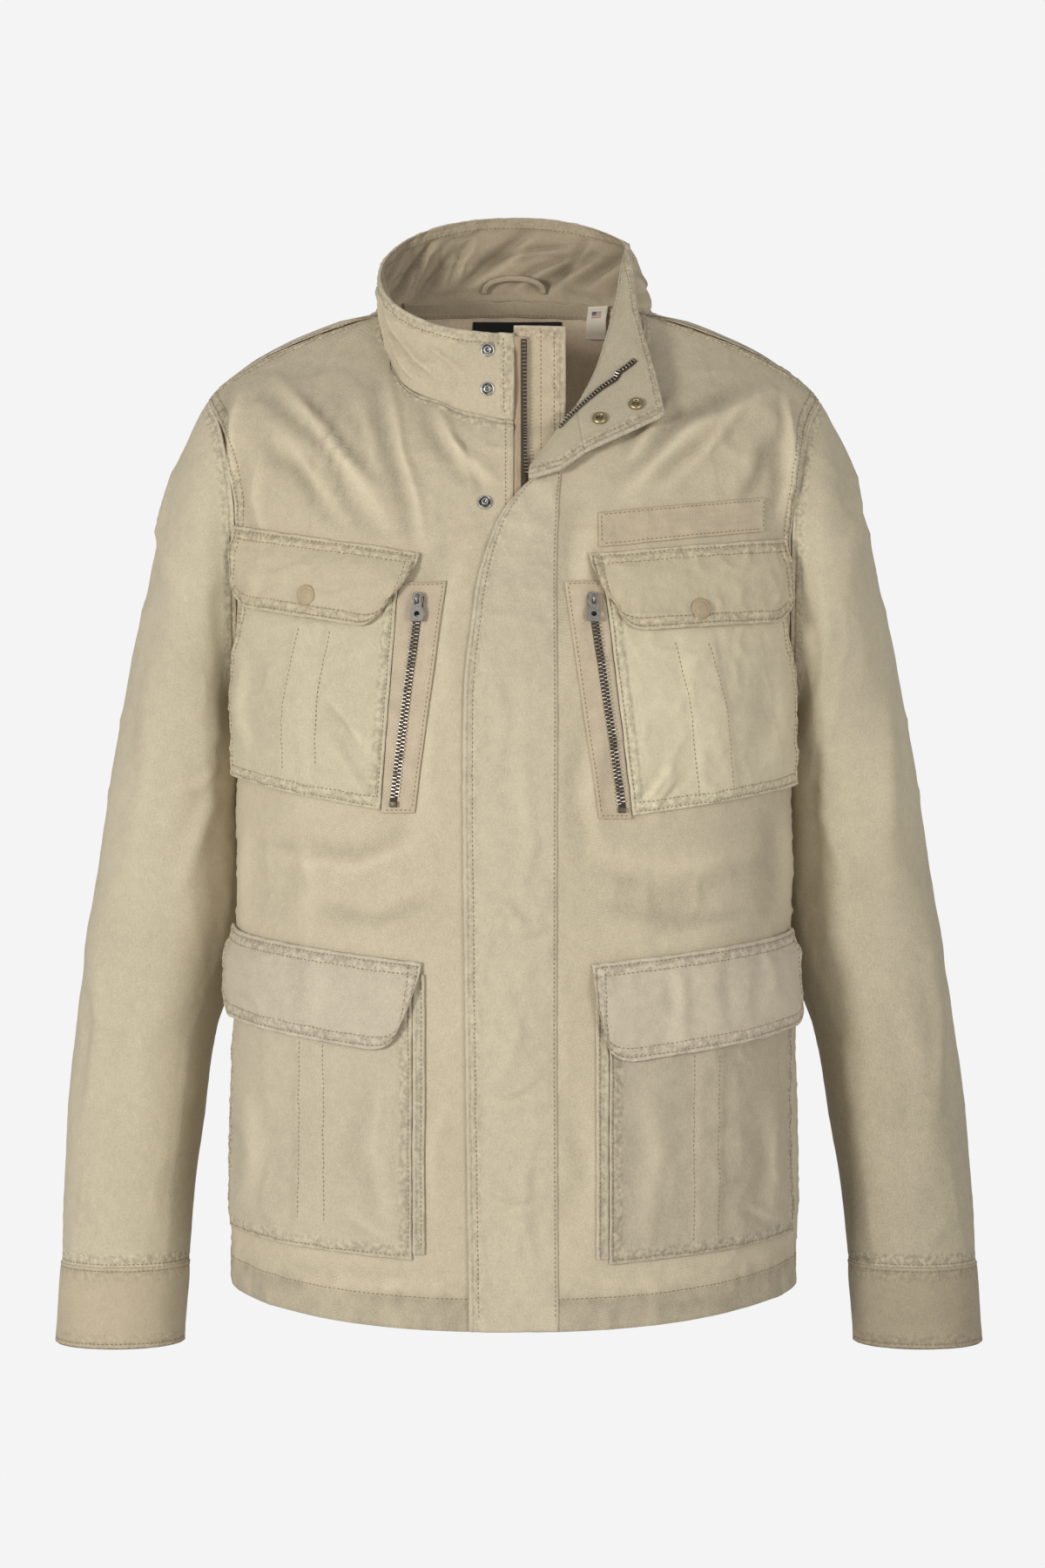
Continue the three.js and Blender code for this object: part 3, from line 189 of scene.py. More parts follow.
# Creases of the sleeves, by millimetres round the arm from its outer line and by height.
SLEEVE_CREASES = {
    "right": [
        ([(-10, -90), (20, -160), (70, -220)], 9, 2.0),
        ([(70, -130), (90, -210), (120, -270)], 8, -1.7),
        ([(40, -260), (60, -330), (52, -420)], 12, 1.6),
        ([(95, -300), (104, -360), (84, -430)], 9, 1.5),
        ([(20, -440), (46, -520), (40, -600)], 11, 1.3),
        ([(80, -470), (66, -540), (74, -620)], 8, -1.2),
        ([(110, -330), (90, -350), (60, -354)], 6, 1.0),
        ([(40, -640), (70, -672), (98, -690)], 7, 1.0),
        ([(-60, -150), (-90, -240), (-80, -330)], 10, 1.8),
        ([(-120, -260), (-100, -350), (-110, -450)], 11, 1.7),
        ([(-50, -420), (-70, -520), (-60, -620)], 11, -1.5),
        ([(-110, -520), (-90, -600), (-98, -680)], 9, 1.3),
    ],
    "left": [
        ([(0, -84), (30, -150), (66, -200)], 9, 1.9),
        ([(60, -120), (88, -200), (112, -280)], 8, -1.6),
        ([(30, -240), (52, -340), (60, -430)], 12, 1.6),
        ([(92, -290), (98, -370), (78, -440)], 9, 1.5),
        ([(28, -430), (36, -520), (54, -600)], 11, 1.3),
        ([(82, -480), (70, -560), (80, -640)], 8, -1.2),
        ([(108, -340), (84, -362), (56, -360)], 6, 1.0),
        ([(30, -650), (62, -676), (94, -688)], 7, 1.0),
        ([(-56, -140), (-84, -230), (-74, -330)], 10, 1.8),
        ([(-112, -270), (-96, -360), (-104, -460)], 11, 1.7),
        ([(-46, -430), (-64, -520), (-58, -630)], 11, -1.5),
        ([(-104, -530), (-88, -610), (-92, -680)], 9, 1.3),
    ],
}

# Creases of the placket, by distance from the centre front and height.
PLACKET_CREASES = [
    ([(-28, -436), (-6, -428), (8, -446), (26, -442)], 5, 1.2),
    ([(-26, -552), (-4, -560), (22, -548)], 5, 1.0),
    ([(-20, -250), (-6, -300), (-14, -350)], 7, 0.8),
    ([(6, -330), (14, -390), (4, -420)], 7, 0.7),
    ([(-24, -620), (0, -634), (24, -628)], 5, 0.9),
    ([(-8, -470), (2, -520), (-6, -560)], 6, 0.7),
    ([(14, -590), (6, -640), (16, -690)], 6, 0.8),
]

# Creases of the pockets, by place on the front.
POCKET_CREASES = [
    ([(-134, -278), (-112, -306), (-97, -327)], 4, 1.6),
    ([(-130, -302), (-112, -332), (-96, -356)], 4, -1.2),
    ([(-190, -250), (-196, -290), (-186, -330)], 7, 1.4),
    ([(112, -330), (100, -346), (88, -362)], 4, 1.5),
    ([(122, -336), (108, -352), (98, -366)], 3.5, -1.1),
    ([(186, -260), (190, -300), (182, -340)], 7, 1.3),
    ([(-90, -540), (-96, -600), (-86, -660)], 9, 1.2),
    ([(-190, -560), (-184, -610), (-192, -650)], 9, 1.3),
    ([(-120, -640), (-96, -656), (-80, -668)], 5, 1.2),
    ([(90, -550), (100, -600), (88, -664)], 9, 1.2),
    ([(180, -560), (186, -620), (180, -660)], 9, 1.2),
    ([(160, -640), (180, -652), (200, -660)], 5, 1.1),
    ([(112, -456), (116, -500), (112, -536)], 7, 0.9),
    ([(150, -452), (146, -490), (152, -520)], 7, -0.8),
    ([(176, -450), (180, -486), (176, -510)], 6, 0.8),
    ([(-140, -456), (-136, -490), (-142, -520)], 7, 0.7),
    ([(-186, -190), (-182, -206), (-188, -222)], 7, 0.8),
]

# Pleats of the pockets: top and bottom (x, z) of each line, its rise and the width of its step.
PLEATS = [
    ((-153.8, -234), (-167.0, -341), 0.9, 1.4), ((-130.6, -236), (-142.2, -338), -2.2, 0.5),
    ((115.4, -245), (133.1, -361), 1.0, 1.2), ((139.8, -245), (158.7, -355), -1.1, 1.2),
    ((-150.4, -525), (-152.2, -657), 1.0, 1.3), ((-133.5, -525), (-131.7, -660), -1.0, 1.3),
    ((126.3, -533), (125.7, -673), 1.0, 1.3), ((145.0, -533), (143.9, -671), -1.0, 1.3),
]


def mix(a, b, t):
    return a + (b - a) * t


def ease(t):
    k = np.clip(t, 0, 1)
    return k * k * (3 - 2 * k)


def smooth_column(table, column, at):
    rows = table if table[0, 0] < table[-1, 0] else table[::-1]
    keys = rows[:, 0]
    values = rows[:, column]
    last = len(keys) - 1
    after = np.minimum(np.arange(last + 1) + 1, last)
    before = np.maximum(np.arange(last + 1) - 1, 0)
    slope = (values[after] - values[before]) / (keys[after] - keys[before])
    at = np.clip(at, keys[0], keys[-1])
    i = np.clip(np.searchsorted(keys, at, side="right") - 1, 0, last - 1)
    step = keys[i + 1] - keys[i]
    t = (at - keys[i]) / step
    t2 = t * t
    t3 = t2 * t
    return ((2 * t3 - 3 * t2 + 1) * values[i] + (t3 - 2 * t2 + t) * slope[i] * step
            + (3 * t2 - 2 * t3) * values[i + 1] + (t3 - t2) * slope[i + 1] * step)


def by_row(table, row, column):
    last = len(table) - 1
    i = np.clip(np.floor(row).astype(int), 0, last - 1)
    before = table[np.maximum(i - 1, 0), column]
    a = table[i, column]
    b = table[i + 1, column]
    after = table[np.minimum(i + 2, last), column]
    t = row - i
    m0 = (b - before) / 2
    m1 = (after - a) / 2
    return a + m0 * t + (3 * (b - a) - 2 * m0 - m1) * t * t + (2 * (a - b) + m0 + m1) * t ** 3


def unit(vectors):
    return vectors / np.maximum(np.linalg.norm(vectors, axis=-1, keepdims=True), 1e-9)


def lengths_along(points):
    """How far along a line of points each of them lies."""
    return np.concatenate([[0], np.cumsum(np.linalg.norm(np.diff(points, axis=0), axis=1))])


def read_along(along, values, where):
    """Points or directions read off at places along a line of them."""
    return np.stack([np.interp(where, along, values[:, k]) for k in range(3)], axis=-1)


LATTICE = np.random.default_rng(11).uniform(-1, 1, (8, 64, 64))


def cloud(a, b, size, layer):
    """Soft uneven values from -1 to 1 over two coordinates, with lumps of about that size."""
    x = np.asarray(a, float) / size + 17.3
    y = np.asarray(b, float) / size + 5.1
    i = np.floor(x).astype(int)
    j = np.floor(y).astype(int)
    s = x - i
    t = y - j
    s = s * s * s * (s * (s * 6 - 15) + 10)
    t = t * t * t * (t * (t * 6 - 15) + 10)
    grid = LATTICE[layer]
    low = mix(grid[i % 64, j % 64], grid[(i + 1) % 64, j % 64], s)
    high = mix(grid[i % 64, (j + 1) % 64], grid[(i + 1) % 64, (j + 1) % 64], s)
    return mix(low, high, t)


def rumple(a, b, size, layer):
    """Narrow soft ridges between flatter fields, as washed cotton keeps them."""
    first = 1 - np.abs(cloud(a, b, size, layer))
    second = 1 - np.abs(cloud(a + 0.4 * b, b - 0.4 * a, size * 0.45, layer - 1))
    return first ** 4 + 0.35 * second ** 4 - 0.4


def creases(a, b, table):
    """Soft creases: a rise along a bent line, with a shallower trough beside it, both uneven."""
    rise = np.zeros_like(a)
    for number, (points, half, height) in enumerate(table):
        corners = np.array(points, float)
        steps = np.linalg.norm(np.diff(corners, axis=0), axis=1)
        total = steps.sum()
        near = np.full_like(a, 1e9)
        aside = np.zeros_like(a)
        along = np.zeros_like(a)
        passed = 0.0
        for k, length in enumerate(steps):
            dx, dz = (corners[k + 1] - corners[k]) / length
            t = (a - corners[k, 0]) * dx + (b - corners[k, 1]) * dz
            held = np.clip(t, 0, length)
            apart = np.hypot(a - corners[k, 0] - held * dx, b - corners[k, 1] - held * dz)
            side = np.sign((a - corners[k, 0]) * dz - (b - corners[k, 1]) * dx)
            better = apart < near
            near = np.where(better, apart, near)
            aside = np.where(better, apart * side, aside)
            along = np.where(better, (passed + held) / total, along)
            passed += length
        fade = np.sin(math.pi * np.clip(along, 0, 1)) ** 0.8
        wide = half * (0.8 + 0.35 * cloud(along * 90, number * 31.0, 26, 3))
        ridge = np.exp(-(aside / wide) ** 2) - 0.45 * np.exp(-((aside - 1.9 * wide) / (1.3 * wide)) ** 2)
        rise += height * fade * ridge
    return rise


def body_section(z):
    return [smooth_column(BODY, column, z) for column in (1, 2, 3)]


def body_base(turn, z):
    half, front, back = body_section(z)
    sine = np.sin(turn)
    cosine = np.cos(turn)
    power = 2 / ROUNDING
    depth = np.where(cosine > 0, front, back)
    x = half * np.sign(sine) * np.abs(sine) ** power
    y = -np.sign(cosine) * depth * np.abs(cosine) ** power
    return np.stack([x, y, z + 0 * x], axis=-1)


def body_normal(point):
    step = 2.0
    z = point[..., 2]
    half, front, back = body_section(z)
    above = body_section(z + step)
    below = body_section(z - step)
    is_front = point[..., 1] < 0
    depth = np.where(is_front, front, back)
    grow_depth = np.where(is_front, above[1] - below[1], above[2] - below[2]) / (2 * step * depth)
    grow_half = (above[0] - below[0]) / (2 * step * half)
    rx = np.abs(point[..., 0]) / half
    ry = np.abs(point[..., 1]) / depth
    return unit(np.stack([
        np.sign(point[..., 0]) * rx ** (ROUNDING - 1) / half,
        np.sign(point[..., 1]) * ry ** (ROUNDING - 1) / depth,
        -(rx ** ROUNDING) * grow_half - (ry ** ROUNDING) * grow_depth,
    ], axis=-1))


def front_folds(x, z):
    rise = np.zeros_like(x)
    for x0, z0, x1, z1, half, height in FRONT_FOLDS:
        dx = x1 - x0
        dz = z1 - z0
        length = math.hypot(dx, dz)
        along = ((x - x0) * dx + (z - z0) * dz) / length ** 2
        aside = ((x - x0) * dz - (z - z0) * dx) / length
        rise += height * ease(along * 3) * ease((1 - along) * 3) * np.exp(-(aside / half) ** 2)
    return rise


def chest_creases(x, z):
    """The creases of the fronts, softer below the chest pockets."""
    return creases(x, z, FRONT_CREASES) * mix(1, 0.55, ease((-z - 380) / 50))


def ground(x, z):
    """How far the cloth of the fronts stands off its smooth form."""
    slack = 0.8 * cloud(x, z, 46, 0) + 0.35 * cloud(x, z, 21, 1) + 0.12 * cloud(x, z * 1.3, 9, 2)
    return front_folds(x, z) + 3.2 * chest_creases(x, z) + slack + 1.3 * rumple(x, z, 30, 3)


TURN_STEPS = 400
LONGEST = 420.0
TABLE_Z = np.arange(-727.0, 22.0, 4.0)


def make_turn_table():
    turns = np.linspace(0, 0.6 * math.pi, TURN_STEPS)
    distances = np.linspace(0, LONGEST, 211)
    rows = []
    for z in TABLE_Z:
        points = body_base(turns, np.full_like(turns, z))
        rows.append(np.interp(distances, lengths_along(points), turns))
    return np.array(rows)


TURN_TABLE = make_turn_table()


def turn_at(distance, z):
    """The turn at a distance from the centre front, measured along the cloth."""
    d = np.clip(np.abs(distance), 0, LONGEST - 2.1) / 2.0
    i = np.floor(d).astype(int)
    s = d - i
    h = np.clip((z - TABLE_Z[0]) / 4.0, 0, len(TABLE_Z) - 1.001)
    j = np.floor(h).astype(int)
    t = h - j
    low = mix(TURN_TABLE[j, i], TURN_TABLE[j, i + 1], s)
    high = mix(TURN_TABLE[j + 1, i], TURN_TABLE[j + 1, i + 1], s)
    return np.sign(distance) * mix(low, high, t)


def on_front(distance, z, lift):
    """Points and outward directions on the fronts, a lift above their cloth."""
    base = body_base(turn_at(distance, z), z)
    normal = body_normal(base)
    rise = ground(base[..., 0], z) + lift
    return base + normal * rise[..., None], normal, base


def hem_at(turn):
    return mix(HEM_FRONT, HEM_SIDE, np.sin(turn) ** 2)


def armhole_turn(z):
    share = np.minimum(1, smooth_column(ARMHOLE, 1, z))
    return np.arcsin(share ** (ROUNDING / 2))


def armhole_height(v):
    return mix(ARMPIT, SHOULDER_TIP, 0.5 - 0.5 * np.cos(math.pi * v))


def neck_place(row):
    return by_row(NECK_SEAM, row, 0), by_row(NECK_SEAM, row, 1)


def plain_top(part):
    return neck_place(part * (NECK_POINT_STEP - CORNER_GAP))


def rolled_top(part):
    cross_turn, cross_z = neck_place(np.array(ROLL_NECK_ROW))
    low = np.clip(part * 3, 0, 1)
    seam = neck_place(mix(ROLL_NECK_ROW, NECK_POINT_STEP - CORNER_GAP, np.clip((part - 1 / 3) * 1.5, 0, 1)))
    early = part < 1 / 3
    turn = np.where(early, mix(LEFT_EDGE_TURN, cross_turn, low), seam[0])
    z = np.where(early, mix(ROLL_START, cross_z, low), seam[1])
    return turn, z


class Panel:
    """A front or the back as a net between its centre line, its armhole and its top edge."""

    def __init__(self, top_edge, centre_turn, centre_top, is_back=False):
        self.top_edge = top_edge
        self.centre_turn = centre_turn
        self.centre_top = centre_top
        self.is_back = is_back

    def centre(self, v):
        return self.centre_turn + 0 * v, mix(ARMPIT, self.centre_top, v)

    def arm(self, v):
        z = armhole_height(v)
        turn = armhole_turn(z)
        return (math.pi - turn + 0.0005 if self.is_back else turn - 0.0005), z

    def top(self, u):
        part = np.clip(u * 2, 0, 1)
        turn, z = self.top_edge(part)
        out = 1 if self.is_back else -1
        gap = out * 0.02 * ease((u - 0.5) / 0.05)
        over = np.clip(u * 2 - 1, 0, 1)
        tip = QUARTER + out * 0.0025
        return (np.where(u <= 0.5, turn, mix(turn + gap, tip, over)),
                np.where(u <= 0.5, z, mix(z, SHOULDER_TIP, over)))

    def place(self, u, v):
        zero = np.zeros_like(u)
        one = np.ones_like(u)
        high = np.clip((v - 0.5) * 2, 0, 1)
        in_low = self.centre(zero)
        out_low = self.arm(zero)
        top = self.top(u)
        corner_in = self.top(zero)
        corner_out = self.top(one)
        middle = self.centre(high)
        arm = self.arm(high)
        upper = []
        for k in (0, 1):
            low = mix(in_low[k], out_low[k], u)
            rows = mix(low, top[k], high)
            columns = mix(middle[k], arm[k], u)
            flat = mix(low, mix(corner_in[k], corner_out[k], u), high)
            upper.append(rows + columns - flat)
        low_turn = mix(in_low[0], out_low[0], u)
        low_z = mix(hem_at(low_turn), mix(in_low[1], out_low[1], u), v * 2)
        up = v >= 0.5
        return np.where(up, upper[0], low_turn), np.where(up, upper[1], low_z)


def back_top(part):
    last = len(NECK_SEAM) - 1
    return neck_place(mix(last, NECK_POINT_STEP + CORNER_GAP, part))


FRONT_PANELS = {
    "right": Panel(plain_top, RIGHT_EDGE_TURN, NECK_FRONT),
    "left": Panel(rolled_top, LEFT_EDGE_TURN, ROLL_START),
}
BACK_PANEL = Panel(back_top, math.pi, NECK_BACK, True)


def front_surface(side):
    sign = -1 if side == "right" else 1

    def surface(u, v):
        turn, z = FRONT_PANELS[side].place(u, 1 - v)
        base = body_base(turn * sign, z)
        normal = body_normal(base)
        shoulder = mix(1, ease(v * 12), ease((u - 0.42) * 8))
        return base + normal * (ground(base[..., 0], z) * shoulder)[..., None], normal

    return surface


def back_surface(u, v):
    across = 2 * u - 1
    turn, z = BACK_PANEL.place(np.abs(across), 1 - v)
    base = body_base(np.where(across < 0, -turn, turn), z)
    normal = body_normal(base)
    x = base[..., 0]
    slack = 0.8 * cloud(x, z, 60, 4) + 0.35 * cloud(x, z, 24, 5) + 0.1 * cloud(x, z, 9, 2)
    near_edge = ease((1 - np.abs(across)) * 8) * ease(v * 10)
    rise = (1.5 * creases(x, z, BACK_CREASES) + slack + 0.7 * rumple(x, z, 34, 5)) * near_edge
    return base + normal * rise[..., None], normal


def armhole_at(angle):
    z = mix(ARMPIT, SHOULDER_TIP, 0.5 + 0.5 * np.cos(angle))
    turn = armhole_turn(z)
    return body_base(np.where(np.sin(angle) >= 0, turn, math.pi - turn), z)


def sleeve_section(angle, row):
    out_x, out_z, in_x, in_z, depth, mid = [by_row(SLEEVE, row, k) for k in range(6)]
    swing = np.cos(angle) / 2
    return np.stack([
        (out_x + in_x) / 2 + swing * (out_x - in_x),
        mid - np.sin(angle) * depth,
        (out_z + in_z) / 2 + swing * (out_z - in_z),
    ], axis=-1)


def sleeve_base(angle, row):
    point = sleeve_section(angle, row)
    share = np.maximum(0, 1 - row / BLEND_ROWS) ** 2
    armhole = armhole_at(angle) - sleeve_section(angle, np.zeros_like(row))
    apart = SEAM + 0.2 + 0.5 * np.maximum(0, -np.cos(angle)) + 1.2 * np.maximum(0, -np.sin(angle))
    point = point + armhole * share[..., None]
    point[..., 0] += apart
    return point


def sleeve_normal(angle, row):
    step = 0.02
    last = len(SLEEVE) - 1.0
    low = np.maximum(0, row - step)
    high = np.minimum(last, row + step)
    along = sleeve_base(angle, high) - sleeve_base(angle, low)
    around = sleeve_base(angle + step, row) - sleeve_base(angle - step, row)
    return unit(np.cross(around, along))


# How much cloth goes to a radian round the sleeve and round the cuff, for their creases.
SLEEVE_ROUND = 48
CUFF_ROUND = 46
CUFF_FLARE = 4
# The lower arm swings out from this depth, over this height.
SWING_FROM = 420
SWING_OVER = 330


def swing_at(side, z):
    return SLEEVE_SWING[side] * ease((-z - SWING_FROM) / SWING_OVER)


def signed_turn(angle):
    """The same turn between minus and plus half a circle."""
    return np.arctan2(np.sin(angle), np.cos(angle))


def on_side(side, point, normal):
    """Points and directions of the wearer's left, turned over for the right."""
    flip = (-1, 1, 1) if side == "right" else (1, 1, 1)
    return point * flip, normal * flip


def under_seam(z):
    """Where the sleeve's under seam lies round the arm, from the middle of its front."""
    return mix(2.75, 2.3, ease((-z - 300) / 260))


def sleeve_surface(side):
    last = len(SLEEVE) - 1.0

    def surface(u, v):
        angle = u * 2 * math.pi
        row = v * last
        point = sleeve_base(angle, row)
        normal = sleeve_normal(angle, row)
        z = point[..., 2]
        turned = signed_turn(angle)
        rise = np.zeros_like(u)
        for turn, height, lean, half, reach, amount in SLEEVE_FOLDS:
            up = (z - height) / reach
            aside = (turned - turn - lean * (z - height)) / half
            rise += amount * np.exp(-up * up - aside * aside)
        inner = np.exp(-((np.abs(turned) - math.pi) / 0.6) ** 2)
        rise += 6.0 * inner * np.exp(-((z + 306) / 40) ** 2)
        around = turned * SLEEVE_ROUND
        worn = 2.3 * creases(around, z, SLEEVE_CREASES[side]) + 1.2 * rumple(around, z * 0.7, 32, 7)
        worn += 0.8 * cloud(around, z * 0.6, 40, 6) + 0.3 * cloud(around, z * 0.8, 18, 7)
        seam = np.cos(turned / 2) ** 0.2
        line = (turned - under_seam(z)) * SLEEVE_ROUND
        lapped = 0.9 * ease(line / 3 + 0.5) * np.exp(-np.maximum(0, line) / 30)
        worn += lapped - 0.7 * np.exp(-(line / 1.2) ** 2)
        rise += worn * ease(v * 12) * ease((1 - v) * 14 + 0.25) * seam
        point[..., 0] += swing_at(side, z)
        return on_side(side, point + normal * rise[..., None], normal)

    return surface


def cuff_surface(side):
    last = len(SLEEVE) - 1.0
    out = 1 if side == "left" else -1

    def surface(u, v):
        angle = u * 2 * math.pi
        row = np.full_like(u, last)
        point = sleeve_base(angle, row)
        normal = sleeve_normal(angle, row)
        point[..., 0] += swing_at(side, point[..., 2])
        rise = 0.9 + 0.35 * cloud(angle * CUFF_ROUND, v * CUFF_HEIGHT, 17, 1) * ease((1 - v) * 5)
        point, normal = on_side(side, point + normal * rise[..., None], normal)
        point[..., 0] += out * CUFF_FLARE * v
        point[..., 2] += -SEAM - v * CUFF_HEIGHT
        return point, normal

    return surface


def collar_top(angle):
    sine = np.maximum(0, np.sin(angle))
    return np.stack([99 * sine ** 0.9, -8 - 70 * np.cos(angle), 28 - 52 * np.cos(angle)], axis=-1)


def roll_at(row):
    return np.stack([by_row(ROLL, row, k) for k in range(3)], axis=-1)


def edge_at(row):
    return read_along(np.arange(len(LAPEL_EDGE)), LAPEL_EDGE, row)


COLLAR_LAST = len(NECK_SEAM) - 1.0
COLLAR_CREASES = [
    ([(36, 16), (60, 34), (90, 54)], 4, 1.4), ([(56, 10), (74, 26), (86, 44)], 3.5, 1.1),
    ([(86, 6), (98, 28), (104, 54)], 4, 1.3), ([(20, 26), (32, 36), (48, 44)], 3.5, 0.8),
    ([(150, 4), (166, 26), (186, 54)], 4.5, 1.5),
    ([(176, 4), (190, 24), (206, 46)], 4, 1.1), ([(204, 10), (222, 32), (240, 56)], 5, 1.4),
    ([(236, 4), (252, 22), (276, 44)], 4, 1.3), ([(262, 14), (280, 34), (300, 56)], 4.5, 1.2),
    ([(296, 4), (306, 28), (326, 52)], 4.5, 1.3),
    ([(136, 10), (146, 30), (160, 50)], 2.4, 1.1), ([(166, 8), (174, 28), (182, 50)], 2.2, 1.0),
    ([(196, 14), (204, 34), (210, 50)], 2.2, 0.9), ([(226, 6), (242, 26), (262, 40)], 2.2, 1.1),
    ([(250, 20), (262, 38), (270, 54)], 2.2, 0.9), ([(282, 8), (292, 30), (300, 46)], 2.2, 1.0),
    ([(216, 30), (236, 38), (258, 44)], 2.4, 0.9), ([(306, 20), (316, 36), (322, 50)], 2.2, 0.9),
]


# The sizes that the collar's creases are drawn at: its length round the neck and its height.
COLLAR_AROUND = 440
COLLAR_TALL = 62
COLLAR_STEPS = 21
RIGHT_STEPS = 11


def behind_neck(u):
    """1 round the back of the collar, 0 at its front ends."""
    return ease((0.28 - np.abs(u - 0.55)) * 12)


def collar_surface(u, v):
    """From the wearer's right front edge round the back to the roll on the left, and from the top down."""
    v = 1 - v
    step = u * COLLAR_STEPS
    on_right = u <= RIGHT_STEPS / COLLAR_STEPS
    count = np.where(on_right, step, 2 * RIGHT_STEPS - step)
    row = np.where(count <= 6, count, 6 + (count - 6) / 5 * (COLLAR_LAST - 6))
    row = np.where(on_right, row, np.maximum(1.9, row))
    side = np.where(on_right, -1.0, 1.0)
    turn, z = neck_place(row)
    low = body_base(turn, z)
    top = collar_top(row / COLLAR_LAST * math.pi)
    up_roll = (np.minimum(row, COLLAR_FULL) - ROLL_NECK_ROW) / (COLLAR_FULL - ROLL_NECK_ROW)
    rolled = roll_at(mix(ROLL_AT_SEAM, 0, up_roll))
    turned_out = (side > 0) & (row < COLLAR_FULL)
    top = np.where(turned_out[..., None], rolled, top)
    flip = np.stack([side, np.ones_like(side), np.ones_like(side)], axis=-1)
    low = low * flip
    top = top * flip
    up = top - low
    height = np.linalg.norm(up, axis=-1)
    lift = np.where((side > 0) & (row < NECK_POINT_STEP), 0.4, 0.1)
    start = np.minimum(0.5, lift / height)
    point = low + up * mix(start, 1, v)[..., None]
    outward = point - np.stack([0 * z, -8 + 0 * z, point[..., 2]], axis=-1)
    outward[..., 1] *= 1.1
    outward = unit(outward)
    bulge = 2.5 * np.sin(math.pi * v) * np.minimum(1, height / 60)
    turned_back = np.where(side > 0, 9 * np.exp(-((row - 7.5) / 1.1) ** 2), 0)
    bulge += turned_back * np.sqrt(np.maximum(0, np.sin(math.pi * v)))
    around = u * COLLAR_AROUND
    high = v * COLLAR_TALL
    deep = mix(3.6, 5.2, behind_neck(u))
    rise = deep * creases(around, high, COLLAR_CREASES) + 0.5 * cloud(around, high, 22, 2)
    rise += 1.3 * rumple(around, high, 21, 2)
    rise *= 1 - 0.75 * ease((8.6 - row) * 1.2) * (side > 0)
    point = point + outward * (bulge + rise * ease(v * 5) * ease((1 - v) * 6 + 0.15))[..., None]
    return point, outward


def lapel_face(row):
    step = 0.3
    low = np.maximum(0, row - step)
    high = np.minimum(len(ROLL) - 1.0, row + step)
    along = roll_at(high) + edge_at(high) - roll_at(low) - edge_at(low)
    face = unit(np.cross(along, edge_at(row) - roll_at(row)))
    return np.where(face[..., 1:2] > 0, -face, face)


def lapel_surface(first, last_row, lift):
    def surface(u, v):
        row = mix(first, last_row, v)
        face = lapel_face(row)
        point = mix(roll_at(row) + ROLL_APART, edge_at(row), u[..., None])
        rise = 0.35 * cloud(u * 45, row * 22, 11, 3) * ease(u * 5) * ease((1 - u) * 5)
        point = point + face * (2.5 * np.sin(math.pi * u) + lift + DOUBLE + rise)[..., None]
        return point, face

    return surface


def placket_surface(u, v):
    z = mix(mix(PLACKET[0, 0], -106.0, u), PLACKET[-1, 0], v ** 1.1)
    free = smooth_column(PLACKET, 1, z)
    sewn = smooth_column(PLACKET, 2, z)
    distance = mix(free, sewn, u)
    held = ease(u * 6) * ease((1 - u) * 8)
    loose = 0.7 * cloud(distance, z, 19, 5) + 0.4 * cloud(distance, z * 1.4, 9, 6)
    loose += 1.1 * rumple(distance, z * 1.2, 24, 6) + 2.4 * creases(distance, z, PLACKET_CREASES) + 0.4
    lift = mix(2.0, 0.25, ease(u * 2.2 - 1.2))
    point, normal, _ = on_front(distance, z, REST + lift + loose * held)
    return point, normal


def pleated(x, z):
    rise = np.zeros_like(x)
    for top, low, height, width in PLEATS:
        along = (z - top[1]) / (low[1] - top[1])
        line = mix(top[0], low[0], along)
        inside = ease((along + 0.12) * 6) * ease((1.04 - along) * 10)
        near = (np.abs(x - line) < 60) & (np.sign(x) == np.sign(line))
        rise += np.where(near, height * inside * (0.5 + 0.5 * np.tanh((x - line) / width)), 0)
    return rise


def pocket_surface(zone, side):
    row = (CHEST if zone == "chest" else LOWER)[side]

    def surface(u, v):
        z = mix(row["top"], mix(row["lowIn"], row["lowOut"], u), v)
        if zone == "chest":
            inner = mix(row["inTop"], row["inLow"], v)
            distance = mix(inner, mix(row["outTop"], row["out"], ease(v * 1.6)), u)
        else:
            distance = mix(row["inner"], row["out"], u)
        swell = np.clip(16 * u * (1 - u) * v * (1 - v), 0, 1) ** 0.3
        x = body_base(turn_at(distance * row["sign"], z), z)[..., 0]
        worn = 2.4 * creases(x, z, POCKET_CREASES) + 0.6 * cloud(x, z, 24, 6) + 0.3 * cloud(x, z, 11, 7)
        worn += 1.4 * rumple(x, z, 22, 4)
        lift = REST + CLOTH + (POCKET_RISE + worn + 1.5 * pleated(x, z)) * swell
        if zone == "chest":
            lift += 4.5 * ease((u - 0.72) * 3.6) * ease(v * 2.2)
        point, normal, _ = on_front(distance * row["sign"], z, np.maximum(lift, REST + CLOTH))
        return point, normal

    return surface


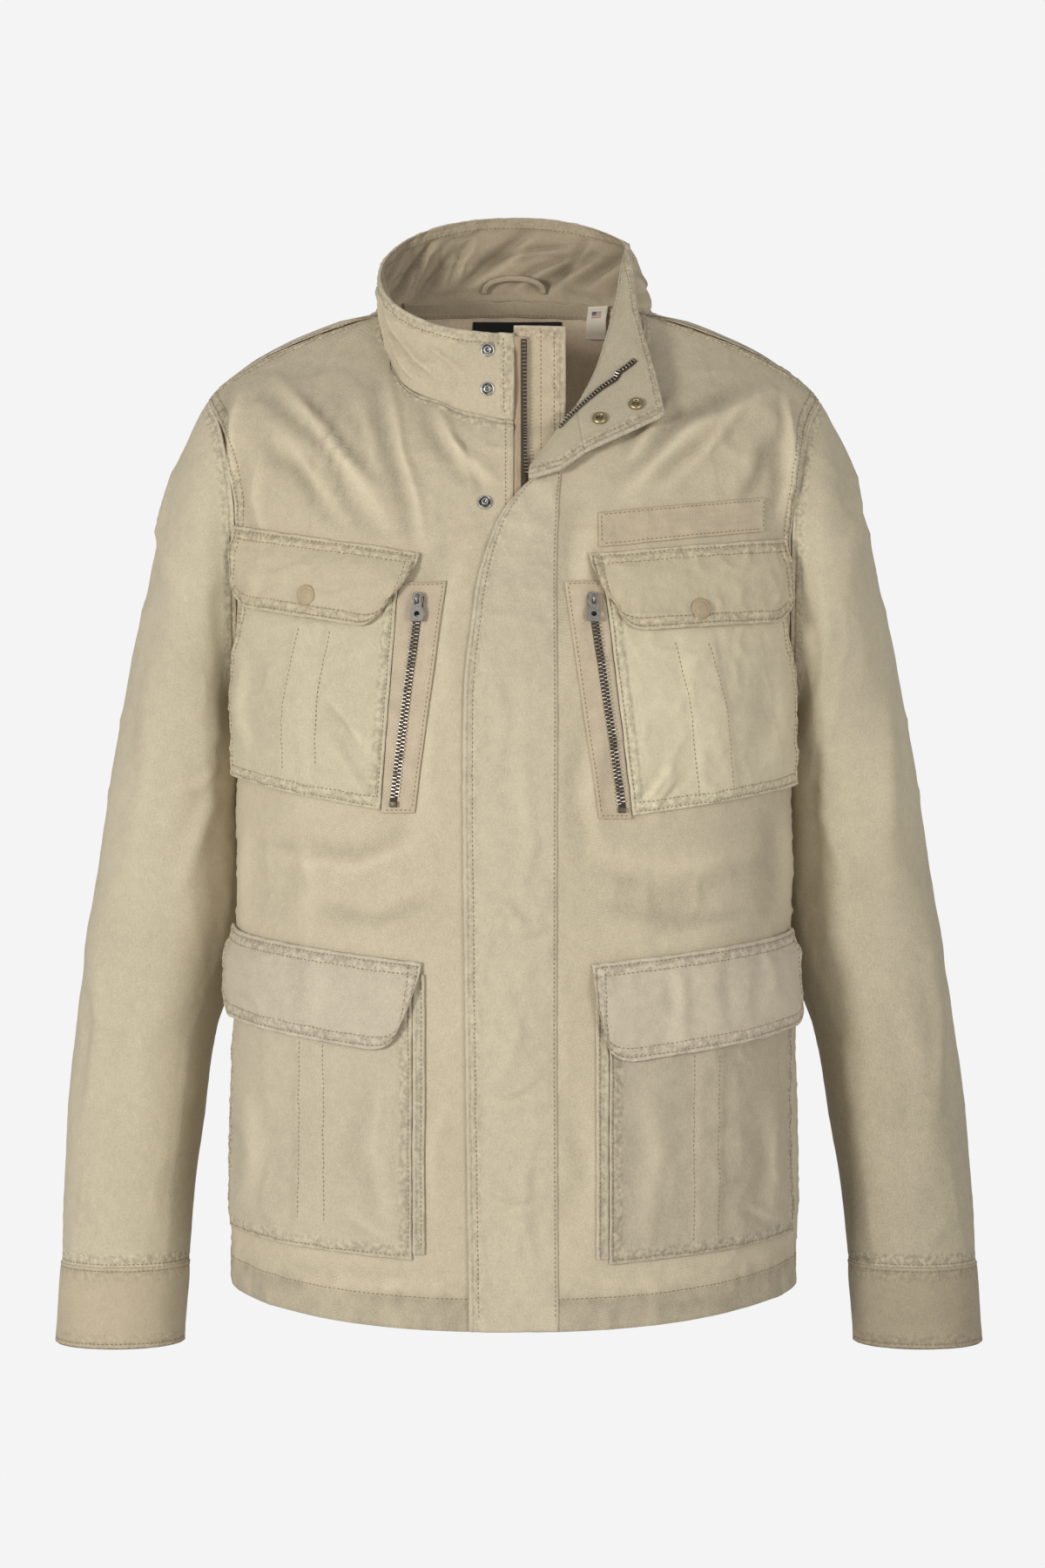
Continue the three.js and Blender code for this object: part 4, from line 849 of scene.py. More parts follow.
def flap_surface(zone, side):
    row = (CHEST if zone == "chest" else LOWER)[side]

    def surface(u, v):
        s = 0.5 - 0.5 * np.cos(math.pi * u) * (0.35 * np.cos(math.pi * u) ** 2 + 0.65)
        inner = row["flapIn"] + row["slant"] * v ** 1.6
        distance = mix(inner, row["flapOut"] + row["flare"] * v ** 1.5, s)
        width = row["flapOut"] - row["flapIn"]
        short = np.maximum(0, FLAP_CORNER - np.minimum(s, 1 - s) * width)
        corner = FLAP_CORNER - np.sqrt(np.maximum(0, FLAP_CORNER ** 2 - short ** 2))
        top = mix(row["topIn"], row["topOut"], s)
        low = mix(row["flapLowIn"], row["flapLowOut"], s) + 0.8 * corner
        z = mix(top, low, v)
        over = ease((top - z) / 22)
        x = body_base(turn_at(distance * row["sign"], z), z)[..., 0]
        held = ease(np.minimum(s, 1 - s) * 14) * ease(v * 6)
        worn = 1.4 * creases(x, z, POCKET_CREASES) + 0.6 * cloud(x, z, 22, 4)
        worn = (worn + 1.3 * rumple(x, z, 20, 3)) * held
        lift = REST + (POCKET_RISE + CLOTH + 1.6) * over + DOUBLE + worn
        point, normal, _ = on_front(distance * row["sign"], z, lift)
        return point, normal

    return surface


def strip_on_front(distance_at, z_at, lift):
    def surface(u, v):
        z = z_at(u, v)
        point, normal, _ = on_front(distance_at(u, v), z, lift + 0 * u)
        return point, normal

    return surface


def neck_strip(start, end, top, inward):
    """A strip behind the front edge, from inside the open neck down to the hem."""

    def surface(u, v):
        z = mix(top, HEM_FRONT + 12, v ** 1.25)
        x = mix(start, end, u)
        low, low_normal, _ = on_front(x, np.minimum(z, NECK_FRONT), -inward + 0 * u)
        lean = (z - NECK_FRONT) / (COLLAR_FRONT_TOP - NECK_FRONT)
        high = np.stack([x, -83 + 5 * lean + inward + 0.004 * x * x, z], axis=-1)
        share = ease((z - NECK_FRONT + 14) / 14)[..., None]
        low = np.concatenate([low[..., :2], z[..., None]], axis=-1)
        return mix(low, high, share), unit(mix(low_normal, np.array((0, -1.0, 0)), share))

    return surface


def inside_back(x, z, gap):
    half = smooth_column(BODY, 1, z)
    share = np.minimum(1, np.abs(x) / half) ** (ROUNDING / 2)
    turn = (math.pi - np.arcsin(share)) * np.where(x < 0, -1, 1)
    base = body_base(turn, z)
    normal = body_normal(base)
    return base - normal * (CLOTH + gap + 0 * z)[..., None], -normal


def binding_surface(u, v):
    z = mix(19, 8, v) - 5 * np.abs(2 * u - 1) ** 2
    gap = 2.1 + 0.5 * cloud(u * 132, 11 * v, 7, 6)
    return inside_back(mix(-84, 70, u), z + 0.8 * cloud(u * 132, 3 * v, 9, 5), gap)


def label_surface(u, v):
    x = mix(-31, 36, u)
    z = mix(4, -35, v)
    return inside_back(x, z, mix(0.8, 2.4, ease(v * 3)) + 0.7 + 0.5 * cloud(x, z, 20, 2) * v)


def size_surface(u, v):
    return inside_back(mix(58, 73, u) - 3 * v, mix(15, -7, v), 4.0 + 1.0 * v * v)


LOOP = dict(half=22, rise=11, stand=7.2, width=3.6, low=24)


def loop_surface(u, v):
    angle = math.pi * v
    x = -LOOP["half"] * np.cos(angle)
    z = LOOP["low"] + LOOP["rise"] * np.sin(angle) ** 0.8 + LOOP["width"] * (u - 0.5) * np.sin(angle)
    side = x - LOOP["width"] * (u - 0.5) * np.cos(angle)
    low = 70 - 0.0075 * side * side
    top = 62 - 0.0072 * side * side
    share = (z - NECK_BACK) / 60
    inner = mix(low, top, share) + 2.5 * np.sin(math.pi * share) - DOUBLE
    depth = inner - 1.2 - LOOP["stand"] * np.sin(angle) + 0.5
    rounded = 0.5 * np.sin(math.pi * u)
    return np.stack([side, depth - rounded, z], axis=-1), np.stack([0 * u, -1 + 0 * u, 0 * u], axis=-1)


# Materials

def new_material(name):
    material = bpy.data.materials.new(name)
    material.use_nodes = True
    tree = material.node_tree
    tree.nodes.clear()
    out = tree.nodes.new("ShaderNodeOutputMaterial")
    shader = tree.nodes.new("ShaderNodeBsdfPrincipled")
    tree.links.new(shader.outputs[0], out.inputs[0])
    return material, tree, shader


def node(tree, kind, **values):
    """A node with its settings, and its inputs from links or numbers by name or number."""
    made = tree.nodes.new("ShaderNode" + kind)
    for key, value in values.get("set", {}).items():
        setattr(made, key, value)
    for key, value in values.get("put", {}).items():
        socket = made.inputs[key]
        if isinstance(value, bpy.types.NodeSocket):
            tree.links.new(value, socket)
        else:
            socket.default_value = value
    return made


def calc(tree, operation, a, b=0.0):
    return node(tree, "Math", set={"operation": operation}, put={0: a, 1: b}).outputs[0]


def noise(tree, place, scale, detail=3.0, rough=0.55):
    put = {"Vector": place, "Scale": scale, "Detail": detail, "Roughness": rough}
    return node(tree, "TexNoise", put=put).outputs["Fac"]


def ranged(tree, value, low, high, to_low, to_high):
    made = node(tree, "MapRange", put={"Value": value, 1: low, 2: high, 3: to_low, 4: to_high})
    return made.outputs[0]


def varied(tree, tone, value, amount):
    """A tone raised and lowered by an amount, as a soft noise value runs."""
    return calc(tree, "ADD", tone, ranged(tree, value, 0.3, 0.7, -amount, amount))


def bumped(tree, shader, strength, distance, height):
    made = node(tree, "Bump", put={"Strength": strength, "Distance": distance, "Height": height})
    tree.links.new(made.outputs[0], shader.inputs["Normal"])


def scaled_colour(tree, colour, factor):
    made = node(tree, "VectorMath", set={"operation": "SCALE"}, put={0: colour, "Scale": factor})
    return made.outputs[0]


def blend_colour(tree, factor, a, b):
    made = node(tree, "Mix", set={"data_type": "RGBA"}, put={0: factor, 6: a, 7: b})
    return made.outputs[2]


def linear(red, green, blue):
    return tuple(((c / 255 + 0.055) / 1.055) ** 2.4 if c > 10 else c / 3295 for c in (red, green, blue))


TWILL_LEAN = 0.62


def twill_tone(tree, parts, edge_wear_and_shade):
    """How much paler or darker the twill is from place to place, with painted light and shade from the
    shade attribute and the puckers.
    """
    fading = noise(tree, parts["place"], 9.0, 4.0, 0.6)
    slub = node(tree, "Mapping", put={"Vector": parts["cloth"], "Scale": (1400.0, 160.0, 1.0)}).outputs[0]
    threads = noise(tree, slub, 1.0, 2.0, 0.6)
    tone = varied(tree, ranged(tree, fading, 0.3, 0.7, 0.94, 1.06), parts["mottle"], 0.035)
    tone = varied(tree, tone, parts["grain"], 0.09)
    tone = varied(tree, tone, threads, 0.05)
    tone = calc(tree, "ADD", tone, ranged(tree, parts["weave"], 0.0, 1.0, -0.05, 0.05))
    # The shade attribute: painted light and shade, with real bleached patches on the fronts.
    tone = calc(tree, "ADD", tone, calc(tree, "MULTIPLY", parts["shade"], 0.16))
    # Painted light and shade of the puckers: paler and darker spots near the stitched edges.
    rope = noise(tree, parts["place"], 300.0, 1.0, 0.4)
    border = calc(tree, "MULTIPLY", ranged(tree, parts["edge"], 0.5, 2.0, 0.0, 1.0),
                  ranged(tree, parts["edge"], 8.5, 11.0, 1.0, 0.0))
    painted_pucker_shade = calc(tree, "MULTIPLY", border, ranged(tree, rope, 0.35, 0.65, -0.2, 0.1))
    return calc(tree, "ADD", tone, calc(tree, "MULTIPLY", painted_pucker_shade, edge_wear_and_shade))


def twill_base(tree, parts, colour, edge_wear_and_shade):
    """The twill's colour, rubbed pale along its edges, with painted shade in the groove of its stitches."""
    rubbed = calc(tree, "MULTIPLY", ranged(tree, parts["edge"], 0.2, 2.6, 1.0, 0.0),
                  ranged(tree, parts["mottle"], 0.35, 0.6, 0.25, 1.0))
    base = scaled_colour(tree, linear(*colour), twill_tone(tree, parts, edge_wear_and_shade))
    pale = tuple(min(1.0, c + 0.16) for c in linear(*colour))
    base = blend_colour(tree, calc(tree, "MULTIPLY", rubbed, 0.3 * edge_wear_and_shade), base, (*pale, 1.0))
    # Painted shade in the groove of the stitches.
    groove_painted_shade = [c * 0.62 for c in linear(*colour)]
    return blend_colour(tree, calc(tree, "MULTIPLY", parts["groove"], 0.16 * edge_wear_and_shade), base, (*groove_painted_shade, 1.0))


def twill_relief(tree, parts):
    """Puckers beside the stitches, soft slack, slubs and the weave, as one height."""
    place = parts["place"]
    puckers = calc(tree, "ADD", noise(tree, place, 190.0, 1.0, 0.4), noise(tree, place, 420.0, 1.0, 0.4))
    near = ranged(tree, parts["edge"], 2.0, 13.0, 1.0, 0.0)
    relief = calc(tree, "MULTIPLY", puckers, calc(tree, "MULTIPLY", near, 1.6))
    relief = calc(tree, "SUBTRACT", relief, calc(tree, "MULTIPLY", parts["groove"], 0.75))
    slack = noise(tree, place, 60.0, 4.0, 0.62)
    for value, share in ((slack, 0.9), (parts["grain"], 0.16), (parts["weave"], 0.1)):
        relief = calc(tree, "ADD", relief, calc(tree, "MULTIPLY", value, share))
    return relief


def twill_material(name, colour, edge_wear_and_shade=1.0):
    """Washed cotton twill: cloudy fading, a slubby weave, pale worn edges, puckers along stitching, and
    painted light and shade.
    """
    material, tree, shader = new_material(name)
    place = node(tree, "TexCoord").outputs["Object"]
    cloth = node(tree, "UVMap", set={"uv_map": "cloth"}).outputs[0]
    edge = node(tree, "Attribute", set={"attribute_name": "edge"}).outputs["Fac"]
    shade = node(tree, "Attribute", set={"attribute_name": "shade"}).outputs["Fac"]
    turned = node(tree, "Mapping", put={"Vector": cloth, "Rotation": (0.0, 0.0, TWILL_LEAN)}).outputs[0]
    weave = node(tree, "TexWave", set={"wave_type": "BANDS", "bands_direction": "X"},
                 put={"Vector": turned, "Scale": 300.0, "Distortion": 0.6, "Detail": 1.0,
                      "Detail Scale": 2.0}).outputs["Fac"]
    off_groove = calc(tree, "ABSOLUTE", calc(tree, "SUBTRACT", edge, 3.2))
    groove = calc(tree, "SUBTRACT", 1.0, ranged(tree, off_groove, 0.0, 1.5, 0.0, 1.0))
    mottle = noise(tree, place, 120.0, 3.0, 0.6)
    grain = noise(tree, place, 900.0, 2.0, 0.5)
    parts = dict(place=place, cloth=cloth, edge=edge, shade=shade, weave=weave, groove=groove,
                 mottle=mottle, grain=grain)
    tree.links.new(twill_base(tree, parts, colour, edge_wear_and_shade), shader.inputs["Base Color"])
    bumped(tree, shader, 0.55, 0.0011, twill_relief(tree, parts))
    tree.links.new(ranged(tree, mottle, 0.3, 0.7, 0.84, 0.94), shader.inputs["Roughness"])
    shader.inputs["Sheen Weight"].default_value = 0.12
    shader.inputs["Sheen Roughness"].default_value = 0.45
    shader.inputs["Specular IOR Level"].default_value = 0.25
    return material


def tape_material(name, colour, pitch=3.0, lengthwise=True):
    """Woven tape with a herringbone weave that runs down the tape or across it."""
    material, tree, shader = new_material(name)
    place = node(tree, "TexCoord").outputs["Object"]
    cloth = node(tree, "UVMap", set={"uv_map": "cloth"}).outputs[0]
    parts = node(tree, "SeparateXYZ", put={0: cloth})
    zigzag, straight = (0, 1) if lengthwise else (1, 0)
    folded = calc(tree, "PINGPONG", parts.outputs[zigzag], pitch / 1000)
    slope = calc(tree, "ADD", folded, parts.outputs[straight])
    ribs = calc(tree, "SINE", calc(tree, "MULTIPLY", slope, 2 * math.pi / 0.0016))
    grain = noise(tree, place, 900.0, 2.0, 0.5)
    mottle = noise(tree, place, 90.0, 3.0, 0.6)
    tone = calc(tree, "ADD", ranged(tree, mottle, 0.3, 0.7, 0.93, 1.07),
                ranged(tree, ribs, -1.0, 1.0, -0.2, 0.13))
    tone = varied(tree, tone, grain, 0.05)
    tree.links.new(scaled_colour(tree, linear(*colour), tone), shader.inputs["Base Color"])
    relief = calc(tree, "ADD", calc(tree, "MULTIPLY", ribs, 0.35), calc(tree, "MULTIPLY", grain, 0.4))
    bumped(tree, shader, 0.6, 0.0006, relief)
    tree.links.new(ranged(tree, mottle, 0.3, 0.7, 0.8, 0.95), shader.inputs["Roughness"])
    shader.inputs["Sheen Weight"].default_value = 0.1
    shader.inputs["Specular IOR Level"].default_value = 0.25
    return material


def metal_material(name, colour, tarnish, rough):
    """Aged plated metal with tarnish in its hollows and fine scratches."""
    material, tree, shader = new_material(name)
    place = node(tree, "TexCoord").outputs["Object"]
    spots = noise(tree, place, 700.0, 3.0, 0.6)
    fine = noise(tree, place, 2600.0, 2.0, 0.5)
    hollow = node(tree, "NewGeometry").outputs["Pointiness"]
    worn = ranged(tree, hollow, 0.47, 0.53, 0.85, 0.1)
    dull = calc(tree, "MULTIPLY", calc(tree, "ADD", worn, ranged(tree, spots, 0.35, 0.65, -0.2, 0.5)), 0.8)
    dull = node(tree, "Clamp", put={0: dull}).outputs[0]
    base = blend_colour(tree, dull, (*linear(*colour), 1.0), (*linear(*tarnish), 1.0))
    tree.links.new(base, shader.inputs["Base Color"])
    tree.links.new(ranged(tree, spots, 0.3, 0.7, rough - 0.08, rough + 0.14), shader.inputs["Roughness"])
    bumped(tree, shader, 0.25, 0.0002, fine)
    shader.inputs["Metallic"].default_value = 1.0
    return material


def plain_material(name, colour, rough, bump_scale=1200.0, bump=0.4):
    """A closely woven or painted finish with slight mottling."""
    material, tree, shader = new_material(name)
    place = node(tree, "TexCoord").outputs["Object"]
    mottle = noise(tree, place, 260.0, 3.0, 0.6)
    grain = noise(tree, place, bump_scale, 2.0, 0.5)
    tone = varied(tree, ranged(tree, mottle, 0.3, 0.7, 0.93, 1.07), grain, 0.05)
    tree.links.new(scaled_colour(tree, linear(*colour), tone), shader.inputs["Base Color"])
    bumped(tree, shader, bump, 0.0003, grain)
    tree.links.new(ranged(tree, mottle, 0.3, 0.7, rough - 0.05, rough + 0.05), shader.inputs["Roughness"])
    shader.inputs["Specular IOR Level"].default_value = 0.3
    return material


def size_label_material(name):
    """Pale satin ribbon with a small plain motif of stripes and a blue corner."""
    material, tree, shader = new_material(name)
    cloth = node(tree, "UVMap", set={"uv_map": "cloth"}).outputs[0]
    place = node(tree, "TexCoord").outputs["Object"]
    parts = node(tree, "SeparateXYZ", put={0: cloth})
    x = parts.outputs[0]
    y = parts.outputs[1]

    def between(value, low, high):
        over = calc(tree, "GREATER_THAN", value, low)
        return calc(tree, "MULTIPLY", over, calc(tree, "LESS_THAN", value, high))

    flag = calc(tree, "MULTIPLY", between(x, 0.0035, 0.0115), between(y, 0.004, 0.0095))
    corner = calc(tree, "MULTIPLY", between(x, 0.0035, 0.0072), between(y, 0.004, 0.0068))
    phase = calc(tree, "MULTIPLY", y, 2 * math.pi / 0.0014)
    striped = calc(tree, "MULTIPLY", flag, calc(tree, "GREATER_THAN", calc(tree, "SINE", phase), 0.0))
    base = blend_colour(tree, striped, (*linear(226, 216, 196), 1.0), (*linear(168, 96, 88), 1.0))
    base = blend_colour(tree, corner, base, (*linear(92, 100, 128), 1.0))
    grain = noise(tree, place, 900.0, 2.0, 0.5)
    base = scaled_colour(tree, base, ranged(tree, grain, 0.3, 0.7, 0.95, 1.05))
    tree.links.new(base, shader.inputs["Base Color"])
    bumped(tree, shader, 0.3, 0.0003, grain)
    tree.links.new(ranged(tree, grain, 0.3, 0.7, 0.6, 0.7), shader.inputs["Roughness"])
    return material


# Meshes

def to_frame(points):
    return (np.asarray(points) + FRAME_SHIFT) / 1000


def new_mesh(name, points, faces, materials, face_material=None, uv=None, values=None):
    mesh = bpy.data.meshes.new(name)
    faces = np.asarray(faces, np.int32)
    count, corners = faces.shape
    mesh.vertices.add(len(points))
    mesh.vertices.foreach_set("co", to_frame(points).astype(np.float32).ravel())
    mesh.loops.add(count * corners)
    mesh.loops.foreach_set("vertex_index", faces.ravel())
    mesh.polygons.add(count)
    mesh.polygons.foreach_set("loop_start", np.arange(0, count * corners, corners, dtype=np.int32))
    mesh.polygons.foreach_set("loop_total", np.full(count, corners, np.int32))
    mesh.polygons.foreach_set("use_smooth", np.ones(count, bool))
    if face_material is not None:
        mesh.polygons.foreach_set("material_index", np.asarray(face_material, np.int32))
    for material in materials:
        mesh.materials.append(material)
    if uv is not None:
        layer = mesh.uv_layers.new(name="cloth")
        layer.data.foreach_set("uv", uv[faces.ravel()].astype(np.float32).ravel())
    for key, value in (values or {}).items():
        made = mesh.attributes.new(key, "FLOAT", "POINT")
        made.data.foreach_set("value", value.astype(np.float32))
    mesh.update(calc_edges=True)
    mesh.validate()
    piece = bpy.data.objects.new(name, mesh)
    bpy.context.scene.collection.objects.link(piece)
    return piece


def travelled(points, axis):
    step = np.linalg.norm(np.diff(points, axis=axis), axis=-1)
    pad = [(0, 0), (0, 0)]
    pad[axis] = (1, 0)
    return np.cumsum(np.pad(step, pad), axis=axis)


def spread(count, length, dense_start, dense_end):
    """Parts from 0 to 1 that lie closer together near a stitched edge."""
    s = np.linspace(0, length, 1500)
    density = np.ones_like(s)
    if dense_start:
        density += 1.8 * np.exp(-(s / 11) ** 2)
    if dense_end:
        density += 1.8 * np.exp(-((length - s) / 11) ** 2)
    share = np.concatenate([[0], np.cumsum((density[1:] + density[:-1]) / 2)])
    return np.interp(np.linspace(0, 1, count + 1), share / share[-1], s / length)


FAR_FROM_EDGE = 40.0


class Cloth:
    """A thin shell of cloth over a surface of two parts (u across, v down), with its stitched edges."""

    def __init__(self, surface, columns, rows, closed=False, edges=(), seams=(),
                 pucker=0.0, roll=0.0, hem=0.0):
        self.closed = closed
        self.hem = hem
        self.edges = edges
        rough = surface(*np.meshgrid(np.linspace(0, 1, 12), np.linspace(0, 1, 12)))[0]
        width = travelled(rough, 1)[:, -1].mean()
        length = travelled(rough, 0)[-1].mean()
        us = spread(columns, width, "left" in edges, "right" in edges)
        vs = spread(rows, length, "top" in edges, "bottom" in edges)
        self.u, self.v = np.meshgrid(us, vs)
        self.points, self.normals = surface(self.u, self.v)
        self.measure()
        if seams or pucker or roll:
            self.points = self.points + self.normals * self.seam_relief(seams, pucker, roll)[..., None]
            self.measure()

    def measure(self):
        self.across = travelled(self.points, 1)
        self.down = travelled(self.points, 0)

    def seam_relief(self, seams, pucker, roll):
        """Puckers along stitched edges, a groove at each row of stitches and a rolled rim."""
        edge = self.edge_distance(self.edges)
        sides = self.edge_distance([name for name in self.edges if name in ("left", "right")])
        along = np.where(sides <= edge + 0.01, self.down, self.across)
        wave = 0.7 * cloud(along, edge * 0.4, 3.3, 1) + 0.6 * cloud(along + 40, edge * 0.3, 6.3, 2)
        relief = pucker * wave * np.exp(-(edge / 10) ** 2) * ease(edge / 1.2 + 0.2)
        relief += roll * np.exp(-((edge - 1.4) / 1.7) ** 2)
        for depth in seams:
            relief -= 0.55 * np.exp(-((edge - depth) / 1.1) ** 2)
        if len(seams) > 1:
            middle = (seams[0] + seams[1]) / 2
            twist = 0.6 * cloud(along + edge * 0.8, edge * 0.2, 2.6, 4)
            relief += (0.55 + twist) * np.exp(-((edge - middle) / 2.4) ** 2)
        if self.hem:
            above = self.down[-1:, :] - self.down - self.hem
            slack = cloud(self.across, above * 0.3, 8, 6)
            slack += 0.7 * cloud(self.across + above * 0.6, above * 0.4, 4.5, 5)
            relief += 0.75 * slack * np.exp(-(above / 9) ** 2) * (np.abs(above + 6) < 22)
            relief -= 0.5 * np.exp(-(above / 1.3) ** 2)
        return relief

    def at(self, us, vs):
        """Points and outward directions between the net's own, by their parts across and down."""
        columns = np.interp(us, self.u[0], np.arange(self.u.shape[1]))
        rows = np.interp(vs, self.v[:, 0], np.arange(self.u.shape[0]))
        i = np.clip(np.floor(columns).astype(int), 0, self.u.shape[1] - 2)
        j = np.clip(np.floor(rows).astype(int), 0, self.u.shape[0] - 2)
        s = (columns - i)[..., None]
        t = (rows - j)[..., None]
        both = []
        for grid in (self.points, self.normals):
            low = mix(grid[j, i], grid[j, i + 1], s)
            high = mix(grid[j + 1, i], grid[j + 1, i + 1], s)
            both.append(mix(low, high, t))
        return both

    def from_edge(self, edge):
        """How far every place of the net lies from one edge."""
        return {
            "left": self.across, "right": self.across[:, -1:] - self.across,
            "top": self.down, "bottom": self.down[-1:, :] - self.down,
        }[edge]

    def edge_distance(self, edges):
        """How far every place lies from the nearest of some edges, up to a limit."""
        return np.min([np.full(self.u.shape, FAR_FROM_EDGE), *map(self.from_edge, edges)], axis=0)

    def inset(self, edge, depth, start=0.0, end=1.0, count=500):
        """Places along a line a depth in from one edge, from start to end along it."""
        t = np.linspace(start, end, count)
        upright = edge in ("left", "right")
        lines = self.from_edge(edge) if upright else self.from_edge(edge).T
        axis, other = (self.u[0], self.v[:, 0]) if upright else (self.v[:, 0], self.u[0])
        way = -1 if edge in ("right", "bottom") else 1
        at = np.interp(t, other, [np.interp(depth, line[::way], axis[::way]) for line in lines])
        return (at, t) if upright else (t, at)

    def build(self, name, thick, materials, shade=None):
        """The shell's mesh: an outer face, an inner face and a rounded rim round the open edges."""
        rows, columns = self.u.shape[0] - 1, self.u.shape[1] - 1
        across = columns if self.closed else columns + 1
        outer = self.points[:, :across].reshape(-1, 3)
        inner = (self.points - self.normals * thick)[:, :across].reshape(-1, 3)
        loops = self.rim_loops(rows, columns, across)
        middles = [(outer[loop] + inner[loop]) / 2 + away * thick * 0.4 for loop, away in loops]
        out_faces, in_faces = self.shell_faces(rows, columns, across)
        rim_faces = self.rim_faces(loops, len(outer))
        flip = self.turned_over()
        faces = np.concatenate([out_faces, in_faces])
        if flip:
            faces = faces[:, ::-1]
        if not self.rim_matches(out_faces, rim_faces, flip):
            rim_faces = rim_faces[:, ::-1]
        kind = np.concatenate([np.zeros(len(out_faces)), np.ones(len(in_faces)), np.zeros(len(rim_faces))])
        uv = np.stack([self.across, self.down], axis=-1)[:, :across].reshape(-1, 2) / 1000
        edge = self.edge_distance(self.edges)[:, :across].ravel()
        # The shade attribute: painted light and shade, with real bleached patches on the fronts.
        painted_shade_and_bleach = np.zeros(len(outer)) if shade is None else shade(self)[:, :across].ravel()
        values = {
            "edge": np.concatenate([edge, edge, *[edge[loop] * 0 for loop, _ in loops]]),
            "shade": np.concatenate([painted_shade_and_bleach, painted_shade_and_bleach, *[painted_shade_and_bleach[loop] for loop, _ in loops]]),
        }
        return new_mesh(name, np.concatenate([outer, inner, *middles]),
                        np.concatenate([faces, rim_faces]), materials, kind,
                        np.concatenate([uv, uv, *[uv[loop] for loop, _ in loops]]), values)

    def shell_faces(self, rows, columns, across):
        """The outer and the inner faces by their points' numbers, the inner ones turned over."""
        size = (rows + 1) * across
        i, j = np.meshgrid(np.arange(columns), np.arange(rows))
        i = i.ravel()
        j = j.ravel()

        def at(column, row, layer):
            return layer * size + row * across + column % across

        out_faces = np.stack([at(i, j, 0), at(i + 1, j, 0), at(i + 1, j + 1, 0), at(i, j + 1, 0)], axis=1)
        in_faces = np.stack([at(i, j, 1), at(i, j + 1, 1), at(i + 1, j + 1, 1), at(i + 1, j, 1)], axis=1)
        return out_faces, in_faces

    def rim_faces(self, loops, size):
        """The rim's faces: from the outer face to its rounded middle, and on to the inner face."""
        rims = []
        total = 2 * size
        for loop, _ in loops:
            ring = np.arange(total, total + len(loop))
            total += len(loop)
            after = np.roll(np.arange(len(loop)), -1)
            rims.append(np.stack([loop, ring, ring[after], loop[after]], axis=1))
            rims.append(np.stack([ring, loop + size, loop[after] + size, ring[after]], axis=1))
        return np.concatenate(rims)

    def turned_over(self):
        a = self.points[1:, :-1] - self.points[:-1, :-1]
        b = self.points[:-1, 1:] - self.points[:-1, :-1]
        facing = np.einsum("ijk,ijk->ij", np.cross(b, a), self.normals[:-1, :-1])
        return np.sum(facing) < 0

    def rim_loops(self, rows, columns, across):
        grid = np.arange((rows + 1) * across).reshape(rows + 1, across)
        points = self.points[:, :across]

        def away(edge_points, next_points):
            return unit(edge_points - next_points)

        if self.closed:
            return [
                (grid[0], away(points[0], points[1])),
                (grid[-1], away(points[-1], points[-2])),
            ]
        loop = np.concatenate([grid[0, :-1], grid[:-1, -1], grid[-1, :0:-1], grid[:0:-1, 0]])
        outward = np.concatenate([
            away(points[0, :-1], points[1, :-1]), away(points[:-1, -1], points[:-1, -2]),
            away(points[-1, :0:-1], points[-2, :0:-1]), away(points[:0:-1, 0], points[:0:-1, 1]),
        ])
        return [(loop, outward)]

    def rim_matches(self, out_faces, rim_faces, flip):
        """True if the rim's first face runs against the outer face that it shares an edge with."""
        faces = out_faces[:, ::-1] if flip else out_faces
        a, b = rim_faces[0, 0], rim_faces[0, 3]
        for face in faces[np.isin(faces, a).any(axis=1) & np.isin(faces, b).any(axis=1)]:
            order = list(face)
            forward = order[(order.index(a) + 1) % 4] == b
            rim = list(rim_faces[0])
            rim_forward = rim[(rim.index(a) + 1) % 4] == b
            return forward != rim_forward
        return True


STITCHES = []
STITCH = dict(pitch=3.3, length=2.4, thick=0.32, lift=0.05)


def sew(cloth, us, vs):
    """A row of stitches along a line of places on a cloth."""
    points, normals = cloth.at(np.asarray(us, float), np.asarray(vs, float))
    along = lengths_along(points)
    pitch = STITCH["pitch"]
    count = int((along[-1] - 1.5) / pitch)
    if count < 2:
        return
    starts = (np.arange(count) + 0.5) * pitch + (along[-1] - count * pitch - pitch) / 2
    a = read_along(along, points, starts)
    b = read_along(along, points, starts + STITCH["length"])
    n = unit(read_along(along, normals, starts + STITCH["length"] / 2))
    above = n * STITCH["lift"]
    STITCHES.append((a + above, b + above, n, np.full(count, STITCH["thick"])))


def sew_edge(cloth, *where):
    """A row of stitches along one edge: the edge, the depth and the parts where it starts and ends."""
    sew(cloth, *cloth.inset(*where))


def sew_inside(cloth, us, vs):
    """The same row seen on the cloth's inner face."""
    points, normals = cloth.at(np.asarray(us, float), np.asarray(vs, float))
    inner = Inner(points - normals * DOUBLE, -normals)
    sew(inner, us, vs)


class Inner:
    """Places on the inner face of a cloth, in the order that they were asked for."""

    def __init__(self, points, normals):
        self.points = points
        self.normals = normals

    def at(self, _us, _vs):
        return self.points, self.normals


